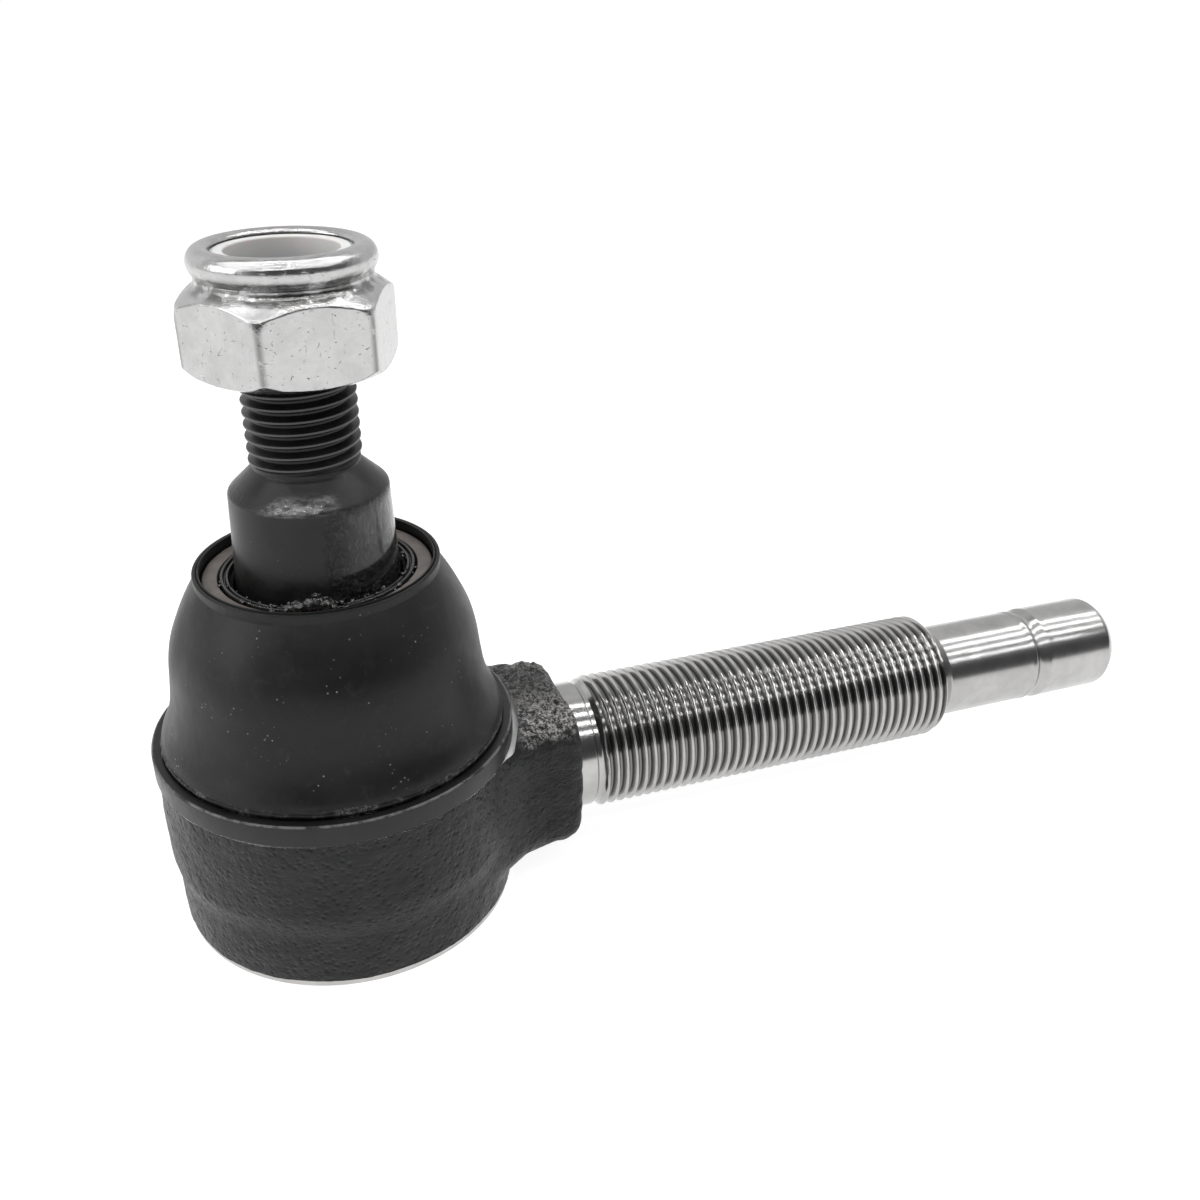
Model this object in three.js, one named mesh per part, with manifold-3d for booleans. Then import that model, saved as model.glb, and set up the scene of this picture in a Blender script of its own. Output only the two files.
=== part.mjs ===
// Tie rod end: a ball joint with a threaded shank, for the end of a steering tie rod.
// Millimetres, +Z up the stud, +X out along the shank. The origin is the centre of the closing
// plate's outer face, on the stud's axis.
import * as THREE from "three";
import { mergeVertices } from "three/addons/utils/BufferGeometryUtils.js";
import Module from "manifold-3d";

const wasm = await Module();
wasm.setup();

// ---------------------------------------------------------------- driving dimensions

const FIT_GAP = 0.3; // between pieces that touch
const RUNNING_GAP = 0.1; // between a thread and what turns on it

// Ball and stud
const BALL_R = 13.5;
const BALL_BOTTOM_Z = 4; // room under the ball for the preload stack
const BALL_Z = BALL_BOTTOM_Z + BALL_R; // height of the joint's centre
const BALL_FLAT_DEPTH = BALL_R - 3; // from the ball's centre down to its flat
const NECK_R = 8.6;
const TAPER_TOP_R = 10;
const TAPER_BOTTOM_Z = 40;
const TAPER_TOP_Z = 62.2;
const TAPER_PER_MM = 1 / 20; // radius gained per millimetre down a 1:10 taper
const TAPER_FLARE = 3.5; // height of the curve from neck to taper
const SHOULDER_EDGE = 0.7;
const STUD_THREAD_R = 7; // M14 x 1.5
const UNDERCUT_DEPTH = 0.4; // where the thread runs out against the shoulder
const UNDERCUT_LENGTH = 0.3;
const STUD_TIP_Z = 86.5;
const STUD_TIP_CHAMFER = 1.2;

// Bearings inside the socket
const SOCKET_R = BALL_R + 3.5; // bore for the bearings
const BEARING_TOP_ABOVE_BALL = 6.3;
const LOWER_BEARING_TOP_BELOW_BALL = 0.6;
const BEARING_SHELL = 2.2; // least thickness where the upper shell narrows
const LOWER_BEARING_FLOOR = 0.9; // thickness round its opening
const LOWER_BEARING_OPENING_R = 7.2;

// Socket housing
const HOUSING_R = SOCKET_R + 7; // upper band
const LOWER_BAND_R = HOUSING_R - 0.8;
const LOWER_BAND_TOP_Z = 9;
const BAND_STEP = 2.6; // height of the step between the bands
const HOUSING_TOP_Z = BALL_Z + 9.1;
const MOUTH_R = BALL_R + 0.2;
const MOUTH_CHAMFER = 0.9;
const BOOT_SEAT_R = HOUSING_R - 3;
const BOOT_SEAT_Z = HOUSING_TOP_Z - 2.7;
const HOUSING_EDGE = 1; // round at the bottom edge

// Closing plate
const PLATE_R = SOCKET_R + 1.7;
const PLATE_THICKNESS = 1.2;
const PLATE_RIM_Z = 0.9; // underside of the rim
const PLATE_DISH_R = SOCKET_R - 1.4; // flat centre that stands out level with the rolled lip
const PLATE_DISH_SLOPE = 1.3;
const LIP_THICKNESS = 0.6;
const SEAL_SECTION_R = 0.55;
const SEAL_R = SOCKET_R + 0.65;

// Preload stack
const SPRING_THICKNESS = 0.7;
const SPRING_INNER_R = 6;
const SPRING_OUTER_R = SOCKET_R - 4;
const PRESSURE_RING_THICKNESS = 0.8;
const PRESSURE_RING_R = SOCKET_R - 4.5;

// Neck and shank
const SHANK_AXIS_Z = BALL_Z - 2.6;
const NECK_END_X = HOUSING_R + 9;
const NECK_HALF_WIDTH = 10.9;
const NECK_ROOT_HALF_WIDTH = HOUSING_R - 5;
const NECK_STRAIGHT = 6; // length of parallel neck before its end
const NECK_HALF_HEIGHT = 10.7;
const NECK_EDGE_R = 3.6;
const NECK_CORNER_LEG = 0.3; // of the end corners, before the edge round widens them
const SPOT_FACE_GAP = 1; // clearance cut in the neck round the boot's ring
const SHANK_THREAD_R = 10; // M20 x 1.5
const SHANK_THREAD_START = 1.1; // chamfer length
const COLLAR_R = SHANK_THREAD_R - 0.5;
const COLLAR_LENGTH = 3.2;
const SHANK_END_X = 131.1;
const SHANK_END_CHAMFER = 1.1;
const SHANK_THREAD_END_X = SHANK_END_X - 36.1;
const SHANK_THREAD_CHAMFER = 2.5;
const PILOT_R = SHANK_THREAD_R - 2.47;
const PILOT_END_R = PILOT_R + 0.12;
const PILOT_GROOVE_X = SHANK_END_X - 15.5;
const PILOT_GROOVE_DEPTH = 0.2;
const PILOT_GROOVE_LENGTH = 1;

// Boot and its rings
const RING_R = HOUSING_R + 0.5;
const RING_WALL = 0.8;
const RING_TOP_Z = HOUSING_TOP_Z + 0.7;
const RING_HEIGHT = 3.1;
const RING_LIP_WIDTH = 1.4;
const BOOT_WALL = 2.1;
const BOOT_SKIRT_R = RING_R - 1.3;
const BOOT_WAIST_R = RING_R - 3.8;
const BOOT_WAIST_Z = 36.5;
const BOOT_SHOULDER_R = RING_R - 5.3;
const BOOT_SHOULDER_Z = 44;
const BOOT_LIP_R = TAPER_TOP_R + 5.8;
const BOOT_TOP_Z = 51.9;
const BOOT_LIP_WIDTH = 0.8;
const TOP_RING_INNER_R = TAPER_TOP_R + 2.75;
const TOP_RING_THICKNESS = 1;
const TOP_RING_DEPTH = 1.3; // below the lip
const SLIDE_RING_WALL = 1.5;
const SLIDE_RING_HEIGHT = 4.6;

// Lock nut
const NUT_SEAT_Z = STUD_TIP_Z - 9.1;
const NUT_HEIGHT = 14.7;
const NUT_ACROSS_FLATS = 2 * (STUD_THREAD_R + 4.5);
const NUT_HEX_HEIGHT = 9.8;
const NUT_TURN_DEG = 8; // direction of one corner
const NUT_COLLAR_R = NUT_ACROSS_FLATS / 2 - 0.9;
const NUT_OPENING_R = STUD_THREAD_R + 1.1;
const INSERT_HEIGHT = 2.7;
const INSERT_R = STUD_THREAD_R + 1.9;

const ROUND = 40; // sides of a large round piece
const SMALL_ROUND = 32; // sides of the stud, nut and shank

// ---------------------------------------------------------------- materials

function material(color, roughness, metalness) {
  return new THREE.MeshStandardMaterial({ color, roughness, metalness });
}

const BLACK_CASTING = material(0x26272a, 0.55, 0.2);
const BRIGHT_STEEL = material(0xb4b2ad, 0.35, 0.9);
const BLACK_RUBBER = material(0x202123, 0.6, 0);
const DARK_STEEL = material(0x2b2c2f, 0.4, 0.7);
const PHOSPHATED_STEEL = material(0x77706a, 0.6, 0.5);
const ZINC = material(0xd4d4d2, 0.25, 0.9);
const NYLON = material(0xe6e6e4, 0.4, 0);
const ACETAL = material(0xd9d4c6, 0.45, 0);
const BLACK_POLYMER = material(0x17181a, 0.5, 0);

// ---------------------------------------------------------------- shape helpers

// A solid of revolution about +Z. The outline runs anticlockwise in (radius, height).
function turned(outline, sides = ROUND) {
  const points = outline.map(([r, z]) => new THREE.Vector2(r, z));
  const closesOnAxis = outline[0][0] === 0 && outline[outline.length - 1][0] === 0;
  if (!closesOnAxis) points.push(points[0].clone());
  return new THREE.LatheGeometry(points, sides).rotateX(Math.PI / 2);
}

// Points of an arc from one angle to another, in degrees.
function arc(centreR, centreZ, radius, fromDeg, toDeg, steps) {
  return Array.from({ length: steps + 1 }, (_, i) => {
    const angle = THREE.MathUtils.degToRad(fromDeg + ((toDeg - fromDeg) * i) / steps);
    return [centreR + radius * Math.cos(angle), centreZ + radius * Math.sin(angle)];
  });
}

// Points of a smooth curve through the given ones.
function smooth(through, steps) {
  const curve = new THREE.SplineCurve(through.map(([r, z]) => new THREE.Vector2(r, z)));
  return curve.getPoints(steps).map((p) => [p.x, p.y]);
}

function sphereHeight(radius, r) {
  return Math.sqrt(radius * radius - r * r);
}

function angleDeg(rise, run) {
  return THREE.MathUtils.radToDeg(Math.atan2(rise, run));
}

function solidOf(geometry) {
  const bare = geometry.clone();
  bare.deleteAttribute("normal");
  bare.deleteAttribute("uv");
  const merged = mergeVertices(bare, 1e-4);
  const corners = merged.index.array;
  const kept = [];
  for (let i = 0; i < corners.length; i += 3) {
    const [a, b, c] = [corners[i], corners[i + 1], corners[i + 2]];
    if (a !== b && b !== c && c !== a) kept.push(a, b, c);
  }
  return new wasm.Manifold(
    new wasm.Mesh({
      numProp: 3,
      vertProperties: new Float32Array(merged.attributes.position.array),
      triVerts: new Uint32Array(kept),
    }),
  );
}

function geometryOf(solid) {
  const mesh = solid.getMesh();
  const geometry = new THREE.BufferGeometry();
  geometry.setAttribute("position", new THREE.BufferAttribute(mesh.vertProperties, 3));
  geometry.setIndex(new THREE.BufferAttribute(mesh.triVerts, 1));
  return geometry;
}

function piece(name, geometry, look) {
  const mesh = new THREE.Mesh(geometry, look);
  mesh.name = name;
  return mesh;
}

// ---------------------------------------------------------------- heights shared by pieces

const OPENING_DROP = sphereHeight(BALL_R + FIT_GAP, LOWER_BEARING_OPENING_R);
const LOWER_BEARING_Z = BALL_Z - OPENING_DROP - LOWER_BEARING_FLOOR;
const PRESSURE_RING_Z = LOWER_BEARING_Z - FIT_GAP - PRESSURE_RING_THICKNESS;
const TAPER_BOTTOM_R = TAPER_TOP_R + (TAPER_TOP_Z - TAPER_BOTTOM_Z) * TAPER_PER_MM;
const UNDERCUT_R = STUD_THREAD_R - UNDERCUT_DEPTH;
const UNDERCUT_Z = TAPER_TOP_Z + SHOULDER_EDGE + (TAPER_TOP_R - SHOULDER_EDGE - UNDERCUT_R);
const STUD_THREAD_Z = UNDERCUT_Z + UNDERCUT_LENGTH;
const TOP_RING_Z = BOOT_TOP_Z - TOP_RING_DEPTH - TOP_RING_THICKNESS;
const TOP_RING_R = BOOT_LIP_R - BOOT_LIP_WIDTH - FIT_GAP;

function taperRadius(z) {
  return TAPER_TOP_R + (TAPER_TOP_Z - z) * TAPER_PER_MM;
}

// ---------------------------------------------------------------- housing

// The inside of the socket, which is cut out of the forging: a rebate for the closing plate, a
// groove for its seal, the bearings' bore, and a mouth that narrows over the upper bearing.
function socketCavity() {
  const rebateTop = PLATE_RIM_Z + PLATE_THICKNESS + FIT_GAP;
  const sealTop = rebateTop + 2 * SEAL_SECTION_R + 2 * FIT_GAP;
  const sealR = SEAL_R + SEAL_SECTION_R + FIT_GAP;
  const bearingTop = BALL_Z + BEARING_TOP_ABOVE_BALL + FIT_GAP;
  const lipR = PLATE_DISH_R + PLATE_DISH_SLOPE + FIT_GAP;
  return turned([
    [0, -1],
    [lipR, -1],
    [lipR, LIP_THICKNESS],
    [PLATE_R + FIT_GAP, LIP_THICKNESS],
    [PLATE_R + FIT_GAP, rebateTop],
    [sealR, rebateTop],
    [sealR, sealTop],
    [SOCKET_R, sealTop],
    [SOCKET_R, BALL_Z + BEARING_TOP_ABOVE_BALL / 2],
    [mouthShelfRadius(), bearingTop],
    [MOUTH_R, bearingTop],
    [MOUTH_R, HOUSING_TOP_Z - MOUTH_CHAMFER],
    [MOUTH_R + MOUTH_CHAMFER, HOUSING_TOP_Z],
    [MOUTH_R + MOUTH_CHAMFER, HOUSING_TOP_Z + 1],
    [0, HOUSING_TOP_Z + 1],
  ]);
}

// Radius of the shelf that holds the upper bearing down.
function mouthShelfRadius() {
  const bearingInner = sphereHeight(BALL_R + FIT_GAP, BEARING_TOP_ABOVE_BALL);
  return bearingInner + BEARING_SHELL + FIT_GAP;
}

function socketBody() {
  return turned([
    [0, 0],
    [LOWER_BAND_R - HOUSING_EDGE, 0],
    ...arc(LOWER_BAND_R - HOUSING_EDGE, HOUSING_EDGE, HOUSING_EDGE, -60, 0, 2),
    ...smooth(
      [
        [LOWER_BAND_R, LOWER_BAND_TOP_Z],
        [(LOWER_BAND_R + HOUSING_R) / 2, LOWER_BAND_TOP_Z + BAND_STEP / 2],
        [HOUSING_R, LOWER_BAND_TOP_Z + BAND_STEP],
      ],
      4,
    ),
    [HOUSING_R, BOOT_SEAT_Z],
    [BOOT_SEAT_R, BOOT_SEAT_Z],
    [BOOT_SEAT_R, HOUSING_TOP_Z],
    [0, HOUSING_TOP_Z],
  ]);
}

// The neck between socket and shank: its outline from above, flared at the root. The outline is
// drawn smaller by the radius of the edge round, which the bevel adds back all round.
function neckPlan() {
  const straightX = NECK_END_X - NECK_STRAIGHT;
  const endX = NECK_END_X - NECK_EDGE_R;
  const rootX = LOWER_BAND_R / 2;
  const halfWidth = NECK_HALF_WIDTH - NECK_EDGE_R;
  const rootHalfWidth = NECK_ROOT_HALF_WIDTH - NECK_EDGE_R;
  const outline = new THREE.Shape();
  outline.moveTo(0, -rootHalfWidth);
  outline.lineTo(rootX, -rootHalfWidth);
  outline.quadraticCurveTo(straightX - NECK_STRAIGHT, -halfWidth, straightX, -halfWidth);
  outline.lineTo(endX - NECK_CORNER_LEG, -halfWidth);
  outline.lineTo(endX, -halfWidth + NECK_CORNER_LEG);
  outline.lineTo(endX, halfWidth - NECK_CORNER_LEG);
  outline.lineTo(endX - NECK_CORNER_LEG, halfWidth);
  outline.lineTo(straightX, halfWidth);
  outline.quadraticCurveTo(straightX - NECK_STRAIGHT, halfWidth, rootX, rootHalfWidth);
  outline.lineTo(0, rootHalfWidth);
  const plan = new THREE.ExtrudeGeometry(outline, {
    depth: 2 * (NECK_HALF_HEIGHT - NECK_EDGE_R),
    bevelThickness: NECK_EDGE_R,
    bevelSize: NECK_EDGE_R,
    bevelSegments: 3,
    curveSegments: 6,
  });
  return plan.translate(0, 0, SHANK_AXIS_Z - NECK_HALF_HEIGHT + NECK_EDGE_R);
}

// The machined shank, turned about +X: relief collar, thread, pilot and end.
function shank() {
  const collarEnd = NECK_END_X + COLLAR_LENGTH;
  const pilotStart = SHANK_THREAD_END_X + SHANK_THREAD_CHAMFER;
  const grooveEnd = PILOT_GROOVE_X + PILOT_GROOVE_LENGTH;
  return turned(
    [
      [0, NECK_END_X - NECK_STRAIGHT],
      [COLLAR_R, NECK_END_X - NECK_STRAIGHT],
      [COLLAR_R, collarEnd],
      [SHANK_THREAD_R, collarEnd + SHANK_THREAD_START],
      [SHANK_THREAD_R, SHANK_THREAD_END_X],
      [PILOT_R, pilotStart],
      [PILOT_R, PILOT_GROOVE_X],
      [PILOT_R - PILOT_GROOVE_DEPTH, PILOT_GROOVE_X + PILOT_GROOVE_LENGTH / 2],
      [PILOT_END_R, grooveEnd],
      [PILOT_END_R, SHANK_END_X - SHANK_END_CHAMFER],
      [PILOT_END_R - SHANK_END_CHAMFER, SHANK_END_X],
      [0, SHANK_END_X],
    ],
    SMALL_ROUND,
  )
    .rotateY(Math.PI / 2)
    .translate(0, 0, SHANK_AXIS_Z);
}

// Clearance round the boot's ring, which spot-faces the neck's top.
function ringClearance() {
  const r = RING_R + SPOT_FACE_GAP;
  const z = RING_TOP_Z - RING_HEIGHT - FIT_GAP;
  return turned([
    [BOOT_SEAT_R, z],
    [r, z],
    [r, RING_TOP_Z + 1],
    [BOOT_SEAT_R, RING_TOP_Z + 1],
  ]);
}

function housing() {
  const forging = solidOf(socketBody()).add(solidOf(neckPlan())).add(solidOf(shank()));
  const cut = forging.subtract(solidOf(socketCavity())).subtract(solidOf(ringClearance()));
  return geometryOf(cut);
}

// ---------------------------------------------------------------- closing plate and preload

function endPlate() {
  const slopeEnd = PLATE_DISH_R + PLATE_DISH_SLOPE;
  const rimTop = PLATE_RIM_Z + PLATE_THICKNESS;
  return turned([
    [0, 0],
    [PLATE_DISH_R, 0],
    [slopeEnd, PLATE_RIM_Z],
    [PLATE_R, PLATE_RIM_Z],
    [PLATE_R, rimTop],
    [slopeEnd - PLATE_THICKNESS / 2, rimTop],
    [PLATE_DISH_R - PLATE_THICKNESS / 2, PLATE_THICKNESS],
    [0, PLATE_THICKNESS],
  ]);
}

function plateSeal() {
  const z = PLATE_RIM_Z + PLATE_THICKNESS + FIT_GAP + SEAL_SECTION_R;
  return new THREE.TorusGeometry(SEAL_R, SEAL_SECTION_R, 8, SMALL_ROUND).translate(0, 0, z);
}

// Coned disc spring, narrow end up against the pressure ring.
function discSpring() {
  const bottom = PLATE_THICKNESS + FIT_GAP;
  const top = PRESSURE_RING_Z - FIT_GAP;
  return turned([
    [SPRING_INNER_R, top - SPRING_THICKNESS],
    [SPRING_OUTER_R, bottom],
    [SPRING_OUTER_R, bottom + SPRING_THICKNESS],
    [SPRING_INNER_R, top],
  ]);
}

function pressureRing() {
  const top = PRESSURE_RING_Z + PRESSURE_RING_THICKNESS;
  return turned([
    [SPRING_INNER_R, PRESSURE_RING_Z],
    [PRESSURE_RING_R, PRESSURE_RING_Z],
    [PRESSURE_RING_R, top],
    [SPRING_INNER_R, top],
  ]);
}

// ---------------------------------------------------------------- bearings

// Open underneath, because the ball's edge swings down through its middle as the stud tilts.
function lowerBearing() {
  const cavityR = BALL_R + FIT_GAP;
  const top = BALL_Z - LOWER_BEARING_TOP_BELOW_BALL;
  const outer = SOCKET_R - FIT_GAP;
  const from = angleDeg(-LOWER_BEARING_TOP_BELOW_BALL, cavityR);
  const to = angleDeg(-OPENING_DROP, LOWER_BEARING_OPENING_R);
  return turned([
    [LOWER_BEARING_OPENING_R, LOWER_BEARING_Z],
    [PRESSURE_RING_R, LOWER_BEARING_Z],
    [outer, LOWER_BEARING_Z + (outer - PRESSURE_RING_R)],
    [outer, top],
    ...arc(0, BALL_Z, cavityR, from, to, 6),
  ]);
}

function upperBearing() {
  const cavityR = BALL_R + FIT_GAP;
  const bottom = BALL_Z;
  const top = BALL_Z + BEARING_TOP_ABOVE_BALL;
  const outer = SOCKET_R - FIT_GAP;
  const innerTopR = sphereHeight(cavityR, BEARING_TOP_ABOVE_BALL);
  const to = angleDeg(BEARING_TOP_ABOVE_BALL, innerTopR);
  return turned([
    [cavityR, bottom],
    [outer, bottom],
    [outer, BALL_Z + BEARING_TOP_ABOVE_BALL / 2 - FIT_GAP],
    [mouthShelfRadius() - 2 * FIT_GAP, top],
    ...arc(0, BALL_Z, cavityR, to, 0, 5).slice(0, -1),
  ]);
}

// ---------------------------------------------------------------- ball stud

function ballStud() {
  const flatR = sphereHeight(BALL_R, BALL_FLAT_DEPTH);
  const ballTop = sphereHeight(BALL_R, NECK_R);
  const tipR = STUD_THREAD_R - STUD_TIP_CHAMFER;
  return turned(
    [
      [0, BALL_Z - BALL_FLAT_DEPTH],
      ...arc(0, BALL_Z, BALL_R, angleDeg(-BALL_FLAT_DEPTH, flatR), angleDeg(ballTop, NECK_R), 11),
      ...smooth(
        [
          [NECK_R, BALL_Z + ballTop + 0.5],
          [NECK_R, TAPER_BOTTOM_Z - TAPER_FLARE],
          [TAPER_BOTTOM_R - 0.6, TAPER_BOTTOM_Z - 0.8],
          [TAPER_BOTTOM_R, TAPER_BOTTOM_Z],
        ],
        6,
      ),
      [TAPER_TOP_R, TAPER_TOP_Z],
      [TAPER_TOP_R - SHOULDER_EDGE, TAPER_TOP_Z + SHOULDER_EDGE],
      [UNDERCUT_R, UNDERCUT_Z],
      [UNDERCUT_R, STUD_THREAD_Z],
      [STUD_THREAD_R, STUD_THREAD_Z + UNDERCUT_DEPTH],
      [STUD_THREAD_R, STUD_TIP_Z - STUD_TIP_CHAMFER],
      [tipR, STUD_TIP_Z],
      [0, STUD_TIP_Z],
    ],
    SMALL_ROUND,
  );
}

// ---------------------------------------------------------------- boot

function bootBaseRing() {
  const bottom = RING_TOP_Z - RING_HEIGHT;
  return turned([
    [RING_R - RING_WALL, bottom],
    [RING_R, bottom],
    [RING_R, RING_TOP_Z - 0.3],
    [RING_R - 0.3, RING_TOP_Z],
    [RING_R - RING_LIP_WIDTH, RING_TOP_Z],
    [RING_R - RING_LIP_WIDTH, RING_TOP_Z - RING_WALL],
    [RING_R - RING_WALL, RING_TOP_Z - RING_WALL],
  ]);
}

// One closed wall: the base bead under the ring, the bell, the rolled lip, and down inside.
function boot() {
  const beadBottom = RING_TOP_Z - RING_HEIGHT;
  const beadTop = RING_TOP_Z - RING_WALL - FIT_GAP;
  const beadR = RING_R - RING_WALL - FIT_GAP;
  const throatR = RING_R - RING_LIP_WIDTH - FIT_GAP;
  const skirtZ = RING_TOP_Z + FIT_GAP;
  const seatZ = TOP_RING_Z - FIT_GAP;
  const innerTop = seatZ - BOOT_WALL;
  const slideR = taperRadius(seatZ) + FIT_GAP + SLIDE_RING_WALL + FIT_GAP;
  const outside = smooth(
    [
      [BOOT_SKIRT_R, skirtZ],
      [BOOT_SKIRT_R - 0.5, skirtZ + 2.6],
      [BOOT_WAIST_R, BOOT_WAIST_Z],
      [BOOT_SHOULDER_R, BOOT_SHOULDER_Z],
      [BOOT_LIP_R, BOOT_TOP_Z - 0.4],
    ],
    9,
  );
  const inside = smooth(
    [
      [slideR + 0.6, innerTop],
      [BOOT_LIP_R - 0.6, innerTop - 0.8],
      [BOOT_SHOULDER_R - BOOT_WALL, BOOT_SHOULDER_Z - 1],
      [BOOT_WAIST_R - BOOT_WALL, BOOT_WAIST_Z],
      [BOOT_SKIRT_R - BOOT_WALL, skirtZ + 2.2],
    ],
    7,
  );
  return turned([
    [BOOT_SEAT_R + FIT_GAP, beadBottom],
    [beadR, beadBottom],
    [beadR, beadTop],
    [throatR, beadTop],
    [throatR, skirtZ],
    ...outside,
    [BOOT_LIP_R - 0.3, BOOT_TOP_Z],
    [BOOT_LIP_R - BOOT_LIP_WIDTH, BOOT_TOP_Z],
    [BOOT_LIP_R - BOOT_LIP_WIDTH, seatZ],
    [slideR, seatZ],
    ...inside,
    [BOOT_SEAT_R + FIT_GAP, RING_TOP_Z],
  ]);
}

function bootTopRing() {
  const top = TOP_RING_Z + TOP_RING_THICKNESS;
  return turned([
    [TOP_RING_INNER_R, TOP_RING_Z],
    [TOP_RING_R, TOP_RING_Z],
    [TOP_RING_R, top],
    [TOP_RING_INNER_R, top],
  ]);
}

// The ring that slides on the stud's taper, with two lips on top.
function bootSlideRing() {
  const top = TOP_RING_Z + TOP_RING_THICKNESS + 0.2;
  const bottom = top - SLIDE_RING_HEIGHT;
  const innerTop = taperRadius(top) + FIT_GAP;
  const innerBottom = taperRadius(bottom) + FIT_GAP;
  const outer = taperRadius(TOP_RING_Z - FIT_GAP) + FIT_GAP + SLIDE_RING_WALL;
  const lip = SLIDE_RING_WALL / 5;
  const outerTop = Math.min(outer, TOP_RING_INNER_R - FIT_GAP);
  return turned([
    [innerBottom, bottom],
    [outer, bottom],
    [outer, TOP_RING_Z - FIT_GAP],
    [outerTop, TOP_RING_Z - FIT_GAP],
    [outerTop, top],
    [outerTop - lip, top],
    [outerTop - 1.5 * lip, top - lip],
    [outerTop - 2 * lip, top],
    [outerTop - 3 * lip, top],
    [outerTop - 3.5 * lip, top - lip],
    [innerTop, top - lip],
  ]);
}

// ---------------------------------------------------------------- lock nut

function lockNut() {
  const cornerR = NUT_ACROSS_FLATS / 2 / Math.cos(Math.PI / 6);
  const chamferRise = (cornerR - NUT_ACROSS_FLATS / 2) * Math.tan(Math.PI / 6);
  const insertSeat = NUT_HEIGHT - 2 * FIT_GAP - INSERT_HEIGHT - 0.6;
  const hexagon = new THREE.CylinderGeometry(cornerR, cornerR, NUT_HEX_HEIGHT, 6)
    .rotateX(Math.PI / 2)
    .rotateZ(THREE.MathUtils.degToRad(NUT_TURN_DEG + 90))
    .translate(0, 0, NUT_HEX_HEIGHT / 2);
  const envelope = turned(
    [
      [0, 0],
      [NUT_ACROSS_FLATS / 2 - 0.4, 0],
      [cornerR, chamferRise + 0.25],
      [cornerR, NUT_HEX_HEIGHT - 2 * chamferRise],
      [NUT_COLLAR_R, NUT_HEX_HEIGHT],
      [0, NUT_HEX_HEIGHT],
    ],
    SMALL_ROUND,
  );
  const collar = turned(
    [
      [0, NUT_HEX_HEIGHT / 2],
      [NUT_COLLAR_R, NUT_HEX_HEIGHT / 2],
      ...arc(NUT_COLLAR_R - 1.6, NUT_HEIGHT - 1.6, 1.6, 0, 90, 5),
      [0, NUT_HEIGHT],
    ],
    SMALL_ROUND,
  );
  const bore = turned(
    [
      [0, -1],
      [STUD_THREAD_R + RUNNING_GAP + 1.2, -1],
      [STUD_THREAD_R + RUNNING_GAP, 0.9],
      [STUD_THREAD_R + RUNNING_GAP, insertSeat],
      [INSERT_R + FIT_GAP, insertSeat],
      [INSERT_R + FIT_GAP, NUT_HEIGHT - 0.6],
      [NUT_OPENING_R, NUT_HEIGHT - 0.6],
      [NUT_OPENING_R, NUT_HEIGHT + 1],
      [0, NUT_HEIGHT + 1],
    ],
    SMALL_ROUND,
  );
  const body = solidOf(hexagon).intersect(solidOf(envelope)).add(solidOf(collar));
  return geometryOf(body.subtract(solidOf(bore)));
}

function nutInsert() {
  const bottom = NUT_HEIGHT - FIT_GAP - INSERT_HEIGHT - 0.6;
  return turned(
    [
      [STUD_THREAD_R + RUNNING_GAP, bottom],
      [INSERT_R, bottom],
      [INSERT_R, bottom + INSERT_HEIGHT],
      [STUD_THREAD_R + RUNNING_GAP, bottom + INSERT_HEIGHT],
    ],
    SMALL_ROUND,
  );
}

// ---------------------------------------------------------------- assembly

const nutGroup = new THREE.Group();
nutGroup.position.z = NUT_SEAT_Z;
nutGroup.add(piece("lock_nut", lockNut(), ZINC));
nutGroup.add(piece("nut_insert", nutInsert(), NYLON));

const tieRodEnd = new THREE.Group();
tieRodEnd.add(
  piece("housing", housing(), BLACK_CASTING),
  piece("end_plate", endPlate(), BRIGHT_STEEL),
  piece("plate_seal", plateSeal(), BLACK_POLYMER),
  piece("disc_spring", discSpring(), DARK_STEEL),
  piece("pressure_ring", pressureRing(), DARK_STEEL),
  piece("lower_bearing", lowerBearing(), ACETAL),
  piece("upper_bearing", upperBearing(), ACETAL),
  piece("ball_stud", ballStud(), DARK_STEEL),
  piece("boot_base_ring", bootBaseRing(), DARK_STEEL),
  piece("boot", boot(), BLACK_RUBBER),
  piece("boot_top_ring", bootTopRing(), PHOSPHATED_STEEL),
  piece("boot_slide_ring", bootSlideRing(), BLACK_POLYMER),
  nutGroup,
);

export default tieRodEnd;
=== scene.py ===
"""Tie rod end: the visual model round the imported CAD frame, with its materials, light and camera.

Lengths in the shape code are millimetres in the part's frame (+Z up the stud, +X along the shank).
The lights are placed in metres.
"""

import math
import random

import bmesh
import bpy
import numpy as np
from mathutils import Matrix, Vector, noise

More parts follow.
